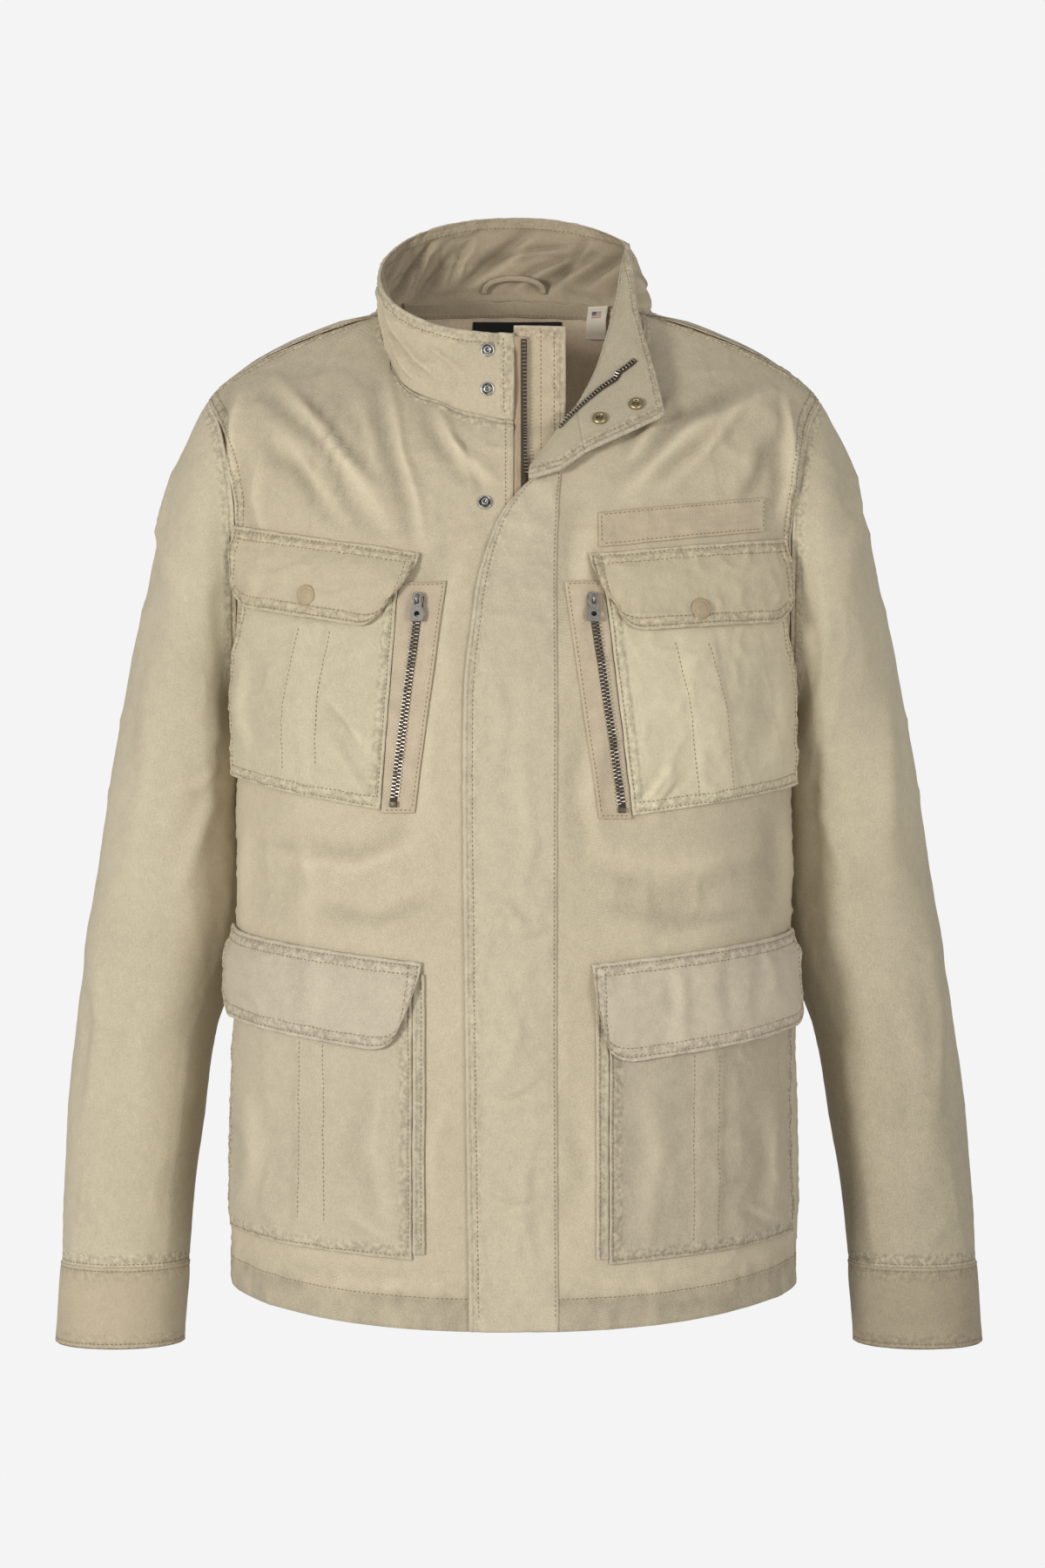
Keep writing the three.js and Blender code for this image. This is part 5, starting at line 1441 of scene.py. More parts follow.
def build_stitches(name, material):
    a, b, n, r = [np.concatenate(parts) for parts in zip(*STITCHES)]
    along = unit(b - a)
    side = unit(np.cross(along, n))
    up = np.cross(side, along)
    sunk = n * 0.22
    rings = []
    for share, wide, high in ((0.22, 1.0, 0.75), (0.78, 1.0, 0.75)):
        middle = mix(a, b, share) + n * 0.1
        for sx, sz in ((1, 0), (0, 1), (-1, 0), (0, -1)):
            rings.append(middle + side * (sx * wide * r)[:, None] + up * (sz * high * r)[:, None])
    points = np.stack([a - sunk, *rings, b - sunk], axis=1).reshape(-1, 3)
    pattern = []
    for k in range(4):
        m = (k + 1) % 4
        pattern += [(0, 1 + m, 1 + k), (1 + k, 1 + m, 5 + k), (1 + m, 5 + m, 5 + k), (9, 5 + k, 5 + m)]
    base = np.arange(len(a))[:, None, None] * 10
    faces = (base + np.array(pattern)[None]).reshape(-1, 3)
    piece = new_mesh(name, points, faces, [material])
    return piece


def lathe(profile, segments=40):
    """A round solid from (radius, height) points, its ends closed on the axis."""
    angle = np.linspace(0, 2 * math.pi, segments, endpoint=False)
    points = []
    faces = []
    for radius, height in profile:
        ring = [radius * np.cos(angle), radius * np.sin(angle), 0 * angle + height]
        points.append(np.stack(ring, axis=1))
    points = np.concatenate(points)
    i = np.arange(segments)
    for k in range(len(profile) - 1):
        a = k * segments
        b = (k + 1) * segments
        faces.append(np.stack([a + i, a + (i + 1) % segments, b + (i + 1) % segments, b + i], axis=1))
    return points, np.concatenate(faces)


def seat_on_front(distance, z, lift):
    """The place and directions of a hard piece on the front: along the cloth, up it and out of it."""
    def plain(at_distance, at_z):
        turn = turn_at(np.array([float(at_distance)]), np.array([float(at_z)]))
        base = body_base(turn, np.array([float(at_z)]))
        normal = body_normal(base)
        rise = front_folds(base[..., 0], base[..., 2]) + lift
        return (base + normal * rise[..., None])[0], normal[0]

    point, out = plain(distance, z)
    higher, _ = plain(distance, z + 3)
    up = higher - point
    up = unit(up - out * np.dot(up, out))
    return point, np.cross(up, out), up, out


def turned_piece(name, profile, point, out, material):
    points, faces = lathe(profile)
    out = unit(np.asarray(out, float))
    side = unit(np.cross((0.0, 0.0, 1.0), out))
    up = np.cross(out, side)
    placed = points[:, :1] * side + points[:, 1:2] * up + points[:, 2:] * out + point
    piece = new_mesh(name, placed, faces, [material])
    close_ends(piece)
    return piece


def close_ends(piece):
    mesh = bmesh.new()
    mesh.from_mesh(piece.data)
    bmesh.ops.remove_doubles(mesh, verts=mesh.verts, dist=1e-6)
    holes = [edge for edge in mesh.edges if edge.is_boundary]
    if holes:
        bmesh.ops.holes_fill(mesh, edges=holes)
    bmesh.ops.recalc_face_normals(mesh, faces=mesh.faces)
    mesh.to_mesh(piece.data)
    mesh.free()


def finish_piece(piece, body, slot, *nodes):
    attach(piece, body)
    if nodes:
        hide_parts(*nodes)
    return piece


def dress(name, cloth, thick, looks, held, slot, *nodes, shade=None):
    """The piece of one cloth, on the jacket, in the place of its solid."""
    piece = cloth.build(name, thick, looks, shade)
    finish_piece(piece, "jacket", slot, *nodes)


# Camera, light and floor

CAMERA_PLACE = (0.0064, -2.670, -0.365)
LENS = 81.25
FLOOR_HEIGHT = -1.42
FLOOR_RADIUS = 1.7


def add_camera():
    data = bpy.data.cameras.new("camera")
    data.lens = LENS
    data.sensor_width = 36.0
    data.clip_end = 50.0
    camera = bpy.data.objects.new("camera", data)
    camera.location = CAMERA_PLACE
    camera.rotation_euler = (QUARTER, 0, 0)
    bpy.context.scene.collection.objects.link(camera)
    bpy.context.scene.camera = camera


def add_light(name, place, aim, size, power):
    data = bpy.data.lights.new(name, "AREA")
    data.shape = "RECTANGLE"
    data.size = size[0]
    data.size_y = size[1]
    data.energy = power
    light = bpy.data.objects.new(name, data)
    light.location = place
    light.rotation_mode = "QUATERNION"
    light.rotation_quaternion = (Vector(aim) - Vector(place)).to_track_quat("-Z", "Y")
    bpy.context.scene.collection.objects.link(light)


AMBIENT = 0.4
BACKDROP = 0.905
# The lights: name, place, aim, size and power.
LIGHTS = [
    ("key", (-1.9, -2.45, -0.2), (0, -0.1, -0.35), (0.6, 0.6), 47),
    ("fill", (1.7, -2.6, -0.3), (0, -0.1, -0.35), (1.0, 1.0), 22),
]
FLOOR_CORNERS = 96


def add_world():
    world = bpy.data.worlds.new("studio")
    world.use_nodes = True
    tree = world.node_tree
    background = tree.nodes["Background"]
    background.inputs[0].default_value = (1.0, 1.0, 1.0, 1)
    seen = tree.nodes.new("ShaderNodeLightPath").outputs["Is Camera Ray"]
    strength = node(tree, "MapRange", put={"Value": seen, 3: AMBIENT, 4: BACKDROP})
    tree.links.new(strength.outputs[0], background.inputs[1])
    bpy.context.scene.world = world
    bpy.context.scene.view_settings.view_transform = "Standard"


def add_floor():
    angle = np.linspace(0, 2 * math.pi, FLOOR_CORNERS, endpoint=False)
    ring = np.stack([np.cos(angle), np.sin(angle), 0 * angle], axis=1) * FLOOR_RADIUS
    ring[:, 2] = FLOOR_HEIGHT
    mesh = bpy.data.meshes.new("floor")
    mesh.from_pydata(ring.tolist(), [], [list(range(FLOOR_CORNERS))])
    material, _, shader = new_material("floor")
    shader.inputs["Base Color"].default_value = (0.8, 0.8, 0.8, 1)
    shader.inputs["Roughness"].default_value = 0.9
    mesh.materials.append(material)
    floor = bpy.data.objects.new("floor", mesh)
    bpy.context.scene.collection.objects.link(floor)


def add_stage():
    add_world()
    for light in LIGHTS:
        add_light(*light)
    add_floor()


# Building

add_camera()
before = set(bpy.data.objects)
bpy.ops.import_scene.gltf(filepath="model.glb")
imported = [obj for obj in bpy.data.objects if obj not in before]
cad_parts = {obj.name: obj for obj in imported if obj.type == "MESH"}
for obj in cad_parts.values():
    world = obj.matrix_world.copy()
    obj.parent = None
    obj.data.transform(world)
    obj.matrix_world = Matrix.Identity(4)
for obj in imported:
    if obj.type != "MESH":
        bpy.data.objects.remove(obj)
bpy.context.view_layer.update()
add_stage()

# The cloths' colours, and how strongly their edges are worn pale and their stitches and puckers painted
# with shade.
CLOTHS = {
    "front": ((197, 184, 157), 1.0),
    "back": ((193, 180, 154), 1.0),
    "sleeve": ((199, 187, 160), 1.0),
    "cuff": ((182, 168, 142), 0.6),
    "collar": ((195, 182, 155), 1.0),
    # The inside of the collar: the collar's twill painted darker, as painted shade.
    "inner_collar_painted_shade": ((172, 157, 132), 0.4),
    "lapel": ((188, 176, 150), 1.0),
    "placket": ((198, 186, 160), 0.6),
    "pocket": ((198, 187, 159), 1.0),
    "flap": ((193, 180, 152), 1.0),
    "lower_flap": ((198, 186, 163), 1.0),
    "lower_pocket": ((192, 180, 155), 1.0),
    "guard": ((198, 182, 154), 1.0),
}
TWILL = {key: twill_material(f"twill_{key}", *look) for key, look in CLOTHS.items()}
# The inner faces: the twill painted paler than it is, as painted light that makes up for the shade inside
# the jacket.
INSIDE_PAINTED_LIGHT = twill_material("twill_inside_painted_light", (228, 208, 180), 0.0)
TAPE = tape_material("woven_tape", (203, 186, 159))
NAME_TAPE = tape_material("name_tape_weave", (200, 184, 156), 2.6, False)
ZIP_TAPE = tape_material("zip_tape_weave", (184, 162, 134))
THREAD = plain_material("thread", (158, 138, 102), 0.75, 2500.0)
BRASS = metal_material("old_brass", (190, 174, 136), (92, 80, 58), 0.36)
STEEL = metal_material("old_nickel", (186, 183, 176), (62, 60, 56), 0.36)
DARK_STEEL = metal_material("dark_nickel", (110, 102, 88), (48, 44, 38), 0.45)
STUD_STEEL = metal_material("stud_nickel", (214, 212, 206), (50, 48, 46), 0.3)
TEETH_METAL = metal_material("zip_teeth_metal", (196, 190, 178), (62, 55, 46), 0.3)
DARK_LABEL = plain_material("dark_label_weave", (34, 32, 32), 0.8)
SIZE_LABEL = size_label_material("size_ribbon")
# A dark strip of painted shadow, laid under zip teeth where the tape and its cord lie in shade.
ZIP_SHADOW = plain_material("zip_shadow_strips", (78, 66, 52), 0.85)
CAP_PAINT = plain_material("cap_paint", (176, 158, 126), 0.5, 500.0, 0.2)


DOUBLE_ROWS = (2.6, 9.0)
HEM_BAND = 22.0


def hem_shade(cloth):
    """Painted shade below the hem's stitches, and in uneven patches just above them."""
    above = cloth.down[-1:, :] - cloth.down - HEM_BAND
    patches = 0.5 + 0.5 * cloud(cloth.across, above, 9, 3)
    uneven = 0.5 * cloud(cloth.across, above * 0.5, 7, 5) * (above < 12)
    return -1.1 * ease(-above / 3 + 0.5) - 1.0 * patches * np.exp(-(above / 5) ** 2) + uneven


# Painted light and shade: how much paler or darker than its neighbours each piece is painted, for how the
# light falls on it.
PAINTED_LEVELS = {
    "pocket_chest_left": 0.9, "pocket_lower_left": -0.6, "flap_lower_right": -0.4, "flap_chest_left": 0.4,
    "cuff_right": 0.5, "cuff_left": -1.1,
}


def painted_crease_shade(name, table):
    """Painted light on the ridges of its creases and painted shade in their troughs, at the piece's own
    painted level.
    """
    def shade(cloth):
        x, _, z = np.moveaxis(cloth.points, -1, 0)
        return PAINTED_LEVELS.get(name, 0.0) + 0.7 * creases(x, z, table)
    return shade


# Painted shade at the hem, on the shoulders that turn up away from the light and in the troughs of the
# creases, painted light on the creases' ridges, and real bleached patches beside the lower pocket.
def front_shade(cloth):
    x, _, z = np.moveaxis(cloth.points, -1, 0)
    shoulders = np.where(x < 0, -0.7, -0.3) * ease((z + 110) / 50)
    bleached = 1.1 * np.exp(-((x + 86) / 9) ** 2 - ((z + 586) / 30) ** 2) * (0.5 + 0.5 * cloud(x, z, 8, 1))
    folds = chest_creases(x, z)
    return hem_shade(cloth) + 0.9 * folds + 1.3 * np.minimum(0, folds) + shoulders + bleached


def collar_shade(cloth):
    """Painted shade in the hollows of the inner face round the back, where the cloth bulges outward, and
    painted light and shade on the creases near the front ends.
    """
    around = cloth.u * COLLAR_AROUND
    height = (1 - cloth.v) * COLLAR_TALL
    hollow = creases(around, height, COLLAR_CREASES) + 0.5 * rumple(around, height, 21, 2)
    return mix(0.5, -1.5, behind_neck(cloth.u)) * hollow


def build_fronts():
    for side in ("right", "left"):
        cloth = Cloth(front_surface(side), 116, 222, edges=("right", "top"), seams=DOUBLE_ROWS,
                      pucker=0.7, roll=0.5, hem=HEM_BAND)
        dress(f"cloth_front_{side}", cloth, CLOTH, [TWILL["front"], INSIDE_PAINTED_LIGHT], "stretched", "twill",
              f"front_{side}", shade=front_shade)
        for depth in DOUBLE_ROWS:
            sew_edge(cloth, "right", depth, 0.0, 0.5)
            sew_edge(cloth, "top", depth, 0.53, 0.99)
        sew_edge(cloth, "bottom", HEM_BAND, 0.02, 0.99)
        if side == "right":
            sew_edge(cloth, "left", 5.5, 0.0, 0.2)


def build_back():
    cloth = Cloth(back_surface, 144, 180, edges=("left", "right", "top"), seams=DOUBLE_ROWS,
                  pucker=0.6, roll=0.5, hem=HEM_BAND)
    dress("cloth_back", cloth, CLOTH, [TWILL["back"], INSIDE_PAINTED_LIGHT], "stretched", "twill", "back",
          shade=hem_shade)
    for edge in ("left", "right"):
        for depth in DOUBLE_ROWS:
            sew_edge(cloth, edge, depth, 0.0, 0.5)
    for start, end in ((0.01, 0.24), (0.76, 0.99)):
        for depth in DOUBLE_ROWS:
            sew_edge(cloth, "top", depth, start, end)
    sew_edge(cloth, "bottom", HEM_BAND, 0.01, 0.99)


def sleeve_shade(cloth):
    """Painted shade behind the under seam, on the under sleeve that turns from the light, and low on the
    wearer's left sleeve, away from the key light.
    """
    z = cloth.points[..., 2]
    turned = signed_turn(cloth.u * 2 * math.pi)
    left = ease(cloth.points[..., 0] / 10)
    low = -0.6 * ease((-z - 330) / 120) - 0.7 * ease((-z - 520) / 150)
    return -0.9 * ease((turned - under_seam(z)) * 16 + 0.5) + left * low


def build_sleeves():
    for side in ("right", "left"):
        cloth = Cloth(sleeve_surface(side), 110, 175, True, ("top", "bottom"), (2.4,), 0.5, 0.3)
        dress(f"cloth_sleeve_{side}", cloth, CLOTH, [TWILL["sleeve"], INSIDE_PAINTED_LIGHT], "stretched", "twill",
              f"sleeve_{side}", shade=sleeve_shade)
        sew_edge(cloth, "bottom", 2.4)
        cuff = Cloth(cuff_surface(side), 110, 30, True, ("top", "bottom"), (2.4,), 0.45, 0.4)
        dress(f"cloth_cuff_{side}", cuff, DOUBLE, [TWILL["cuff"], INSIDE_PAINTED_LIGHT], "stretched", "twill",
              f"cuff_{side}", shade=painted_crease_shade(f"cuff_{side}", []))
        sew_edge(cuff, "top", 2.4)
        sew_edge(cuff, "bottom", 3.0)


# Where the zip's left half lies across the turned-out part, in even steps down it.
ZIP_LINE = (0.575, 0.312, 0.213, 0.15, 0.085, 0.05)


def zip_across(v):
    return np.interp(v, np.linspace(0, 1, len(ZIP_LINE)), ZIP_LINE)


def build_collar():
    cloth = Cloth(collar_surface, 300, 44, edges=("left", "top"), seams=(7.5,), pucker=1.1, roll=0.9)
    dress("cloth_collar", cloth, DOUBLE, [TWILL["collar"], TWILL["inner_collar_painted_shade"]], "stretched", "twill",
          "collar", shade=collar_shade)
    sew_edge(cloth, "top", 7.5, 0.01, 0.98, 900)
    sew_edge(cloth, "left", 7.5, 0.03, 0.97)
    sew_inside(cloth, *cloth.inset("top", 7.5, 0.01, 0.98, 900))
    for name, first, last_row, rows in (("collar_turned_end", 0.0, LAPEL_SEAM - 0.02, 60),
                                        ("placket_turned_top", LAPEL_SEAM, 7.0, 30)):
        part = Cloth(lapel_surface(first, last_row, 0.0), 44, rows, edges=("right",), seams=(7.0,),
                     pucker=0.8, roll=0.7)
        dress(f"cloth_{name}", part, DOUBLE, [TWILL["lapel"], TWILL["lapel"]], "folded", "twill", name)
        sew_edge(part, "right", 7.0, 0.02, 0.98)
    teeth_on(lapel_surface(3.25, 5.95, DOUBLE - 0.6), "zip_teeth_left_edge", "zip_left_edge",
             zip_across, one_side=True)
    # A dark strip of painted shadow under the left edge's teeth.
    under = lapel_surface(3.25, 5.95, DOUBLE - 1.0)
    shadow_strip = Cloth(lambda u, v: under(zip_across(v) + (u - 0.5) * 0.07, v), 3, 60)
    dress("zip_shadow_strip_left_edge", shadow_strip, 0.5, [ZIP_SHADOW, ZIP_SHADOW], "folded", "tape")


# Where the guard's two upright rows of stitches lie across it.
GUARD_ROWS = (0.52, 0.78)


def build_placket():
    cloth = Cloth(placket_surface, 32, 290, edges=("left",), seams=(6.5,), pucker=0.85, roll=0.6)
    dress("cloth_storm_placket", cloth, 1.8, [TWILL["placket"], INSIDE_PAINTED_LIGHT], "stretched", "twill",
          "storm_placket")
    sew_edge(cloth, "left", 6.5, 0.01, 0.99, 900)
    sew_edge(cloth, "right", 1.8, 0.01, 0.99, 900)
    tape = Cloth(neck_strip(0.7, 9.0, COLLAR_FRONT_TOP - 2, 0.2), 4, 120)
    dress("cloth_zip_tape_main", tape, 0.9, [ZIP_TAPE, ZIP_TAPE], "stretched", "tape", "zip_tape_main")
    guard = Cloth(neck_strip(0.5, 37, COLLAR_FRONT_TOP + 6, 3.3), 28, 150, edges=("top", "right"),
                  pucker=0.4, roll=0.3)
    dress("cloth_zip_guard", guard, CLOTH, [TWILL["guard"], INSIDE_PAINTED_LIGHT], "stretched", "twill", "zip_guard")
    t = np.linspace(0.01, 0.3, 300)
    for place in GUARD_ROWS:
        sew(guard, place + 0 * t, t)
    teeth_on(neck_strip(0.7, 7.4, COLLAR_FRONT_TOP - 4, -0.7), "zip_teeth_main", None,
             lambda v: 0.95 + 1.4 * v, one_side=True, until=0.21)
    # A dark strip of painted shadow under the main zip's teeth.
    shadow_strip = Cloth(neck_strip(5.4, 9.3, COLLAR_FRONT_TOP - 4, -0.4), 3, 120)
    dress("zip_shadow_strip_main", shadow_strip, 0.5, [ZIP_SHADOW, ZIP_SHADOW], "stretched", "tape")


def pocket_lines(cloth, row, zone):
    for top, low, _, _ in PLEATS:
        chest = top[1] > -400
        if np.sign(top[0]) != row["sign"] or chest != (zone == "chest"):
            continue
        along = np.linspace(0.0, 1.0, 200)
        xs = mix(top[0], low[0], along)
        zs = mix(top[1], low[1], along)
        inside = cloth.points.reshape(-1, 3)
        us, vs = [], []
        for x, z in zip(xs[::10], zs[::10]):
            k = np.argmin((inside[:, 0] - x) ** 2 + (inside[:, 2] - z) ** 2)
            us.append(cloth.u.ravel()[k])
            vs.append(cloth.v.ravel()[k])
        t = np.linspace(0, 1, len(us))
        line_u = np.polyfit(t, us, 1)
        line_v = np.polyfit(t, vs, 1)
        fine = np.linspace(0, 1, 200)
        sew(cloth, np.polyval(line_u, fine), np.clip(np.polyval(line_v, fine), 0, 1))


def build_pockets():
    for zone, table in (("chest", CHEST), ("lower", LOWER)):
        for side, row in table.items():
            rows = DOUBLE_ROWS if zone == "chest" else (3.0,)
            pocket = Cloth(pocket_surface(zone, side), 88, 80, edges=("left", "right", "bottom"),
                           seams=rows, pucker=0.75, roll=0.35)
            look = TWILL["pocket"] if zone == "chest" else TWILL["lower_pocket"]
            shade = painted_crease_shade(f"pocket_{zone}_{side}", POCKET_CREASES)
            dress(f"cloth_pocket_{zone}_{side}", pocket, CLOTH, [look, INSIDE_PAINTED_LIGHT], "stretched", "twill",
                  f"pocket_{zone}_{side}", shade=shade)
            for depth in rows:
                sew_edge(pocket, "bottom", depth, 0.02, 0.98)
                sew_edge(pocket, "right", depth, 0.02, 0.97)
            sew_edge(pocket, "left", 2.6, 0.02, 0.97)
            pocket_lines(pocket, row, zone)
            flap = Cloth(flap_surface(zone, side), 110, 48, edges=("left", "right", "top", "bottom"),
                         seams=DOUBLE_ROWS, pucker=1.0, roll=0.55)
            look = TWILL["flap"] if zone == "chest" else TWILL["lower_flap"]
            shade = painted_crease_shade(f"flap_{zone}_{side}", POCKET_CREASES)
            dress(f"cloth_flap_{zone}_{side}", flap, DOUBLE, [look, INSIDE_PAINTED_LIGHT], "stretched", "twill",
                  f"flap_{zone}_{side}", shade=shade)
            for depth in DOUBLE_ROWS:
                sew_border(flap, depth)
                sew_edge(flap, "top", depth, 0.01, 0.99)


def sew_border(cloth, depth):
    """One row of stitches down the left edge, along the bottom and up the right edge."""
    left = cloth.inset("left", depth, 0.02, 1.0)
    bottom = cloth.inset("bottom", depth, 0.0, 1.0)
    right = cloth.inset("right", depth, 0.02, 1.0)
    parts = [(left[0], left[1]), bottom, (right[0][::-1], right[1][::-1])]
    for us, vs in parts:
        apart = cloth_edge(cloth, us, vs)
        keep = apart >= depth - 0.35
        if keep.sum() > 8:
            sew(cloth, np.asarray(us)[keep], np.asarray(vs)[keep])


def cloth_edge(cloth, us, vs):
    """How far places lie from the left, right and bottom edges."""
    edge = cloth.edge_distance(("left", "right", "bottom"))
    i = np.clip(np.interp(us, cloth.u[0], np.arange(cloth.u.shape[1])), 0, cloth.u.shape[1] - 1)
    j = np.clip(np.interp(vs, cloth.v[:, 0], np.arange(cloth.u.shape[0])), 0, cloth.u.shape[0] - 1)
    return edge[np.round(j).astype(int), np.round(i).astype(int)]


def build_gussets():
    for side, row in LOWER.items():
        surface = strip_on_front(
            lambda u, v, row=row: mix(row["inner"] - row["gusset"], row["inner"] - 1, u) * row["sign"],
            lambda u, v, row=row: mix(row["top"], row["lowIn"] + 4, v), REST + CLOTH)
        cloth = Cloth(surface, 10, 100, edges=("left", "right"), pucker=0.4, roll=0.5)
        dress(f"cloth_gusset_lower_{side}", cloth, CLOTH, [TWILL["lower_pocket"], INSIDE_PAINTED_LIGHT], "folded",
              "twill", f"gusset_lower_{side}")
        sew_edge(cloth, "left", 2.0, 0.02, 0.98)


def tooth(length, width, height):
    """A zip's tooth as a rounded block: points and faces."""
    x, y, z = length / 2, width / 2, height
    c = 0.22
    points = np.array([
        (-x, -y, 0), (x, -y * 0.7, 0), (x, y * 0.7, 0), (-x, y, 0),
        (-x, -y, z - c), (x, -y * 0.7, z - c), (x, y * 0.7, z - c), (-x, y, z - c),
        (-x + c, -y + c, z), (x - c, -y * 0.7 + c, z), (x - c, y * 0.7 - c, z), (-x + c, y - c, z),
    ])
    faces = np.array([(0, 3, 2, 1), (0, 1, 5, 4), (1, 2, 6, 5), (2, 3, 7, 6), (3, 0, 4, 7),
                      (4, 5, 9, 8), (5, 6, 10, 9), (6, 7, 11, 10), (7, 4, 8, 11), (8, 9, 10, 11)])
    return points, faces


def teeth_on(surface, name, node_name, across_at, one_side=False, until=1.0, pitch=2.7, start=0.0):
    """A row of metal teeth along a surface; two rows mesh unless it is an open edge."""
    t = np.linspace(start, until, 600)
    us = across_at(t)
    points, normals = surface(us, t)
    along = lengths_along(points)
    shape, shape_faces = tooth(3.2, 1.15, 1.5)
    all_points, all_faces = [], []
    rows = (0,) if one_side else (-1, 1)
    for sign in rows:
        offset = 0.25 if sign < 0 else 0.75
        for place in np.arange(offset * pitch, along[-1], pitch):
            here = read_along(along, points, place)
            ahead = read_along(along, points, place + 1)
            behind = read_along(along, points, place - 1)
            out = unit(read_along(along, normals, place))
            way = unit(ahead - behind)
            side = np.cross(way, out)
            flipped = -sign if sign else 1
            spot = here + side * (-flipped * 1.5 if sign else 0)
            placed = spot + shape[:, :1] * side * flipped + shape[:, 1:2] * way + shape[:, 2:] * out
            all_faces.append(shape_faces + len(all_points) * len(shape))
            all_points.append(placed)
    piece = new_mesh(name, np.concatenate(all_points), np.concatenate(all_faces), [TEETH_METAL])
    close_ends(piece)
    for polygon in piece.data.polygons:
        polygon.use_smooth = False
    finish_piece(piece, "jacket", "brass", *([node_name] if node_name else []))
    return piece


# Heights of the chest zips: the tops of the facing, of the chain and of the dark strip of painted shadow
# under it, and the pull's pivot.
FACING_TOP = -204
CHAIN_TOP = -207
SHADOW_STRIP_TOP = -214
PIVOT_Z = -217
PIVOT_IN = 1.5


def build_chest_zips():
    for side, row in CHEST.items():
        facing = strip_on_front(
            lambda u, v, row=row: mix(mix(row["facingTop"], row["facingLow"], v),
                                      mix(row["inTop"], row["inLow"], v) - 1.2, u) * row["sign"],
            lambda u, v, row=row: mix(FACING_TOP, row["lowIn"] - 2, v), REST + FACING_RISE)
        cloth = Cloth(facing, 16, 90)
        dress(f"cloth_zip_facing_{side}", cloth, FACING_RISE, [TAPE, TAPE], "stretched", "tape",
              f"zip_facing_{side}")
        sew_edge(cloth, "left", 1.8, 0.01, 0.99)
        sew_edge(cloth, "bottom", 1.8, 0.02, 0.98)
        sew_edge(cloth, "top", 1.8, 0.02, 0.98)

        def chain_place(u, v, row=row):
            return mix(row["chainTop"], row["chainLow"], v) * row["sign"] + (u - 0.5) * 5

        chain = strip_on_front(chain_place, lambda u, v, row=row: mix(CHAIN_TOP, row["lowIn"], v),
                               REST + FACING_RISE + 0.1)
        teeth_on(chain, f"zip_teeth_{side}", f"zip_chain_{side}", lambda v: 0.5 + 0 * v,
                 start=0.13, until=0.95)
        # A dark strip of painted shadow under the chain.
        shadow_place = strip_on_front(chain_place, lambda u, v, row=row: mix(SHADOW_STRIP_TOP, row["lowIn"] + 6, v),
                               REST + FACING_RISE + 0.45)
        under = Cloth(shadow_place, 3, 80)
        dress(f"zip_shadow_strips_{side}", under, 0.6, [ZIP_SHADOW, ZIP_SHADOW], "stretched", "tape")
        build_stops(side, row)


def box_points(cx, cy, cz, sx, sy, sz):
    signs = np.array([(-1, -1, -1), (1, -1, -1), (1, 1, -1), (-1, 1, -1),
                      (-1, -1, 1), (1, -1, 1), (1, 1, 1), (-1, 1, 1)], float)
    points = signs * (sx / 2, sy / 2, sz / 2) + (cx, cy, cz)
    faces = np.array([(0, 3, 2, 1), (4, 5, 6, 7), (0, 1, 5, 4), (1, 2, 6, 5), (2, 3, 7, 6), (3, 0, 4, 7)])
    return points, faces


def placed_on(points, seat):
    point, along, up, out = seat
    return point + points[:, :1] * along + points[:, 1:2] * up + points[:, 2:] * out


def bevelled(piece, width):
    modifier = piece.modifiers.new("edges", "BEVEL")
    modifier.width = width / 1000
    modifier.segments = 2
    modifier.limit_method = "ANGLE"
    modifier.angle_limit = 0.5
    return piece


def build_stops(side, row):
    """The metal end box at a chest zip's lower end."""
    v = 0.975
    distance = mix(row["chainTop"], row["chainLow"], v) * row["sign"]
    z = mix(CHAIN_TOP, row["lowIn"], v)
    seat = seat_on_front(distance, z, REST + FACING_RISE + 1.2)
    points, faces = box_points(0, 0, 0, 5.6, 4.2, 2.0)
    piece = new_mesh(f"zip_end_{side}", placed_on(points, seat), faces, [DARK_STEEL])
    bevelled(piece, 0.5)
    finish_piece(piece, "jacket", "steel")


SLIDER = dict(width=7.4, neck=5.0, length=10.5, thick=3.2, clear=1.2)
ARCH = dict(inner=2.6, outer=3.6, width=1.8)
TAB = dict(width=9.8, length=16.5, thick=1.0, bar=1.1, hole_top=-0.6, hole_low=-4.6, hole_half=1.7, eye=2.0)


def outline_solid(name, outer, holes, low, high, seat, material, bevel):
    """A plate from an outline with holes, extruded, its edges rounded."""
    curve = bpy.data.curves.new(name, "CURVE")
    curve.dimensions = "2D"
    curve.fill_mode = "BOTH"
    curve.extrude = (high - low) / 2
    for loop in [outer, *holes]:
        spline = curve.splines.new("POLY")
        spline.points.add(len(loop) - 1)
        for k, (x, y) in enumerate(loop):
            spline.points[k].co = (x, y, 0, 1)
        spline.use_cyclic_u = True
    helper = bpy.data.objects.new(name, curve)
    bpy.context.scene.collection.objects.link(helper)
    bpy.context.view_layer.update()
    mesh = bpy.data.meshes.new_from_object(helper.evaluated_get(bpy.context.evaluated_depsgraph_get()))
    bpy.data.objects.remove(helper)
    bpy.data.curves.remove(curve)
    points = np.array([v.co for v in mesh.vertices])
    points[:, 2] += (low + high) / 2
    placed = to_frame(placed_on(points, seat))
    for k, vertex in enumerate(mesh.vertices):
        vertex.co = placed[k]
    mesh.materials.clear()
    mesh.materials.append(material)
    mesh.name = name
    piece = bpy.data.objects.new(name, mesh)
    bpy.context.scene.collection.objects.link(piece)
    close_ends(piece)
    return bevelled(piece, bevel)


def arc(cx, cy, radius, start, end, count):
    angles = np.linspace(start, end, count)
    return [(cx + radius * math.cos(a), cy + radius * math.sin(a)) for a in angles]


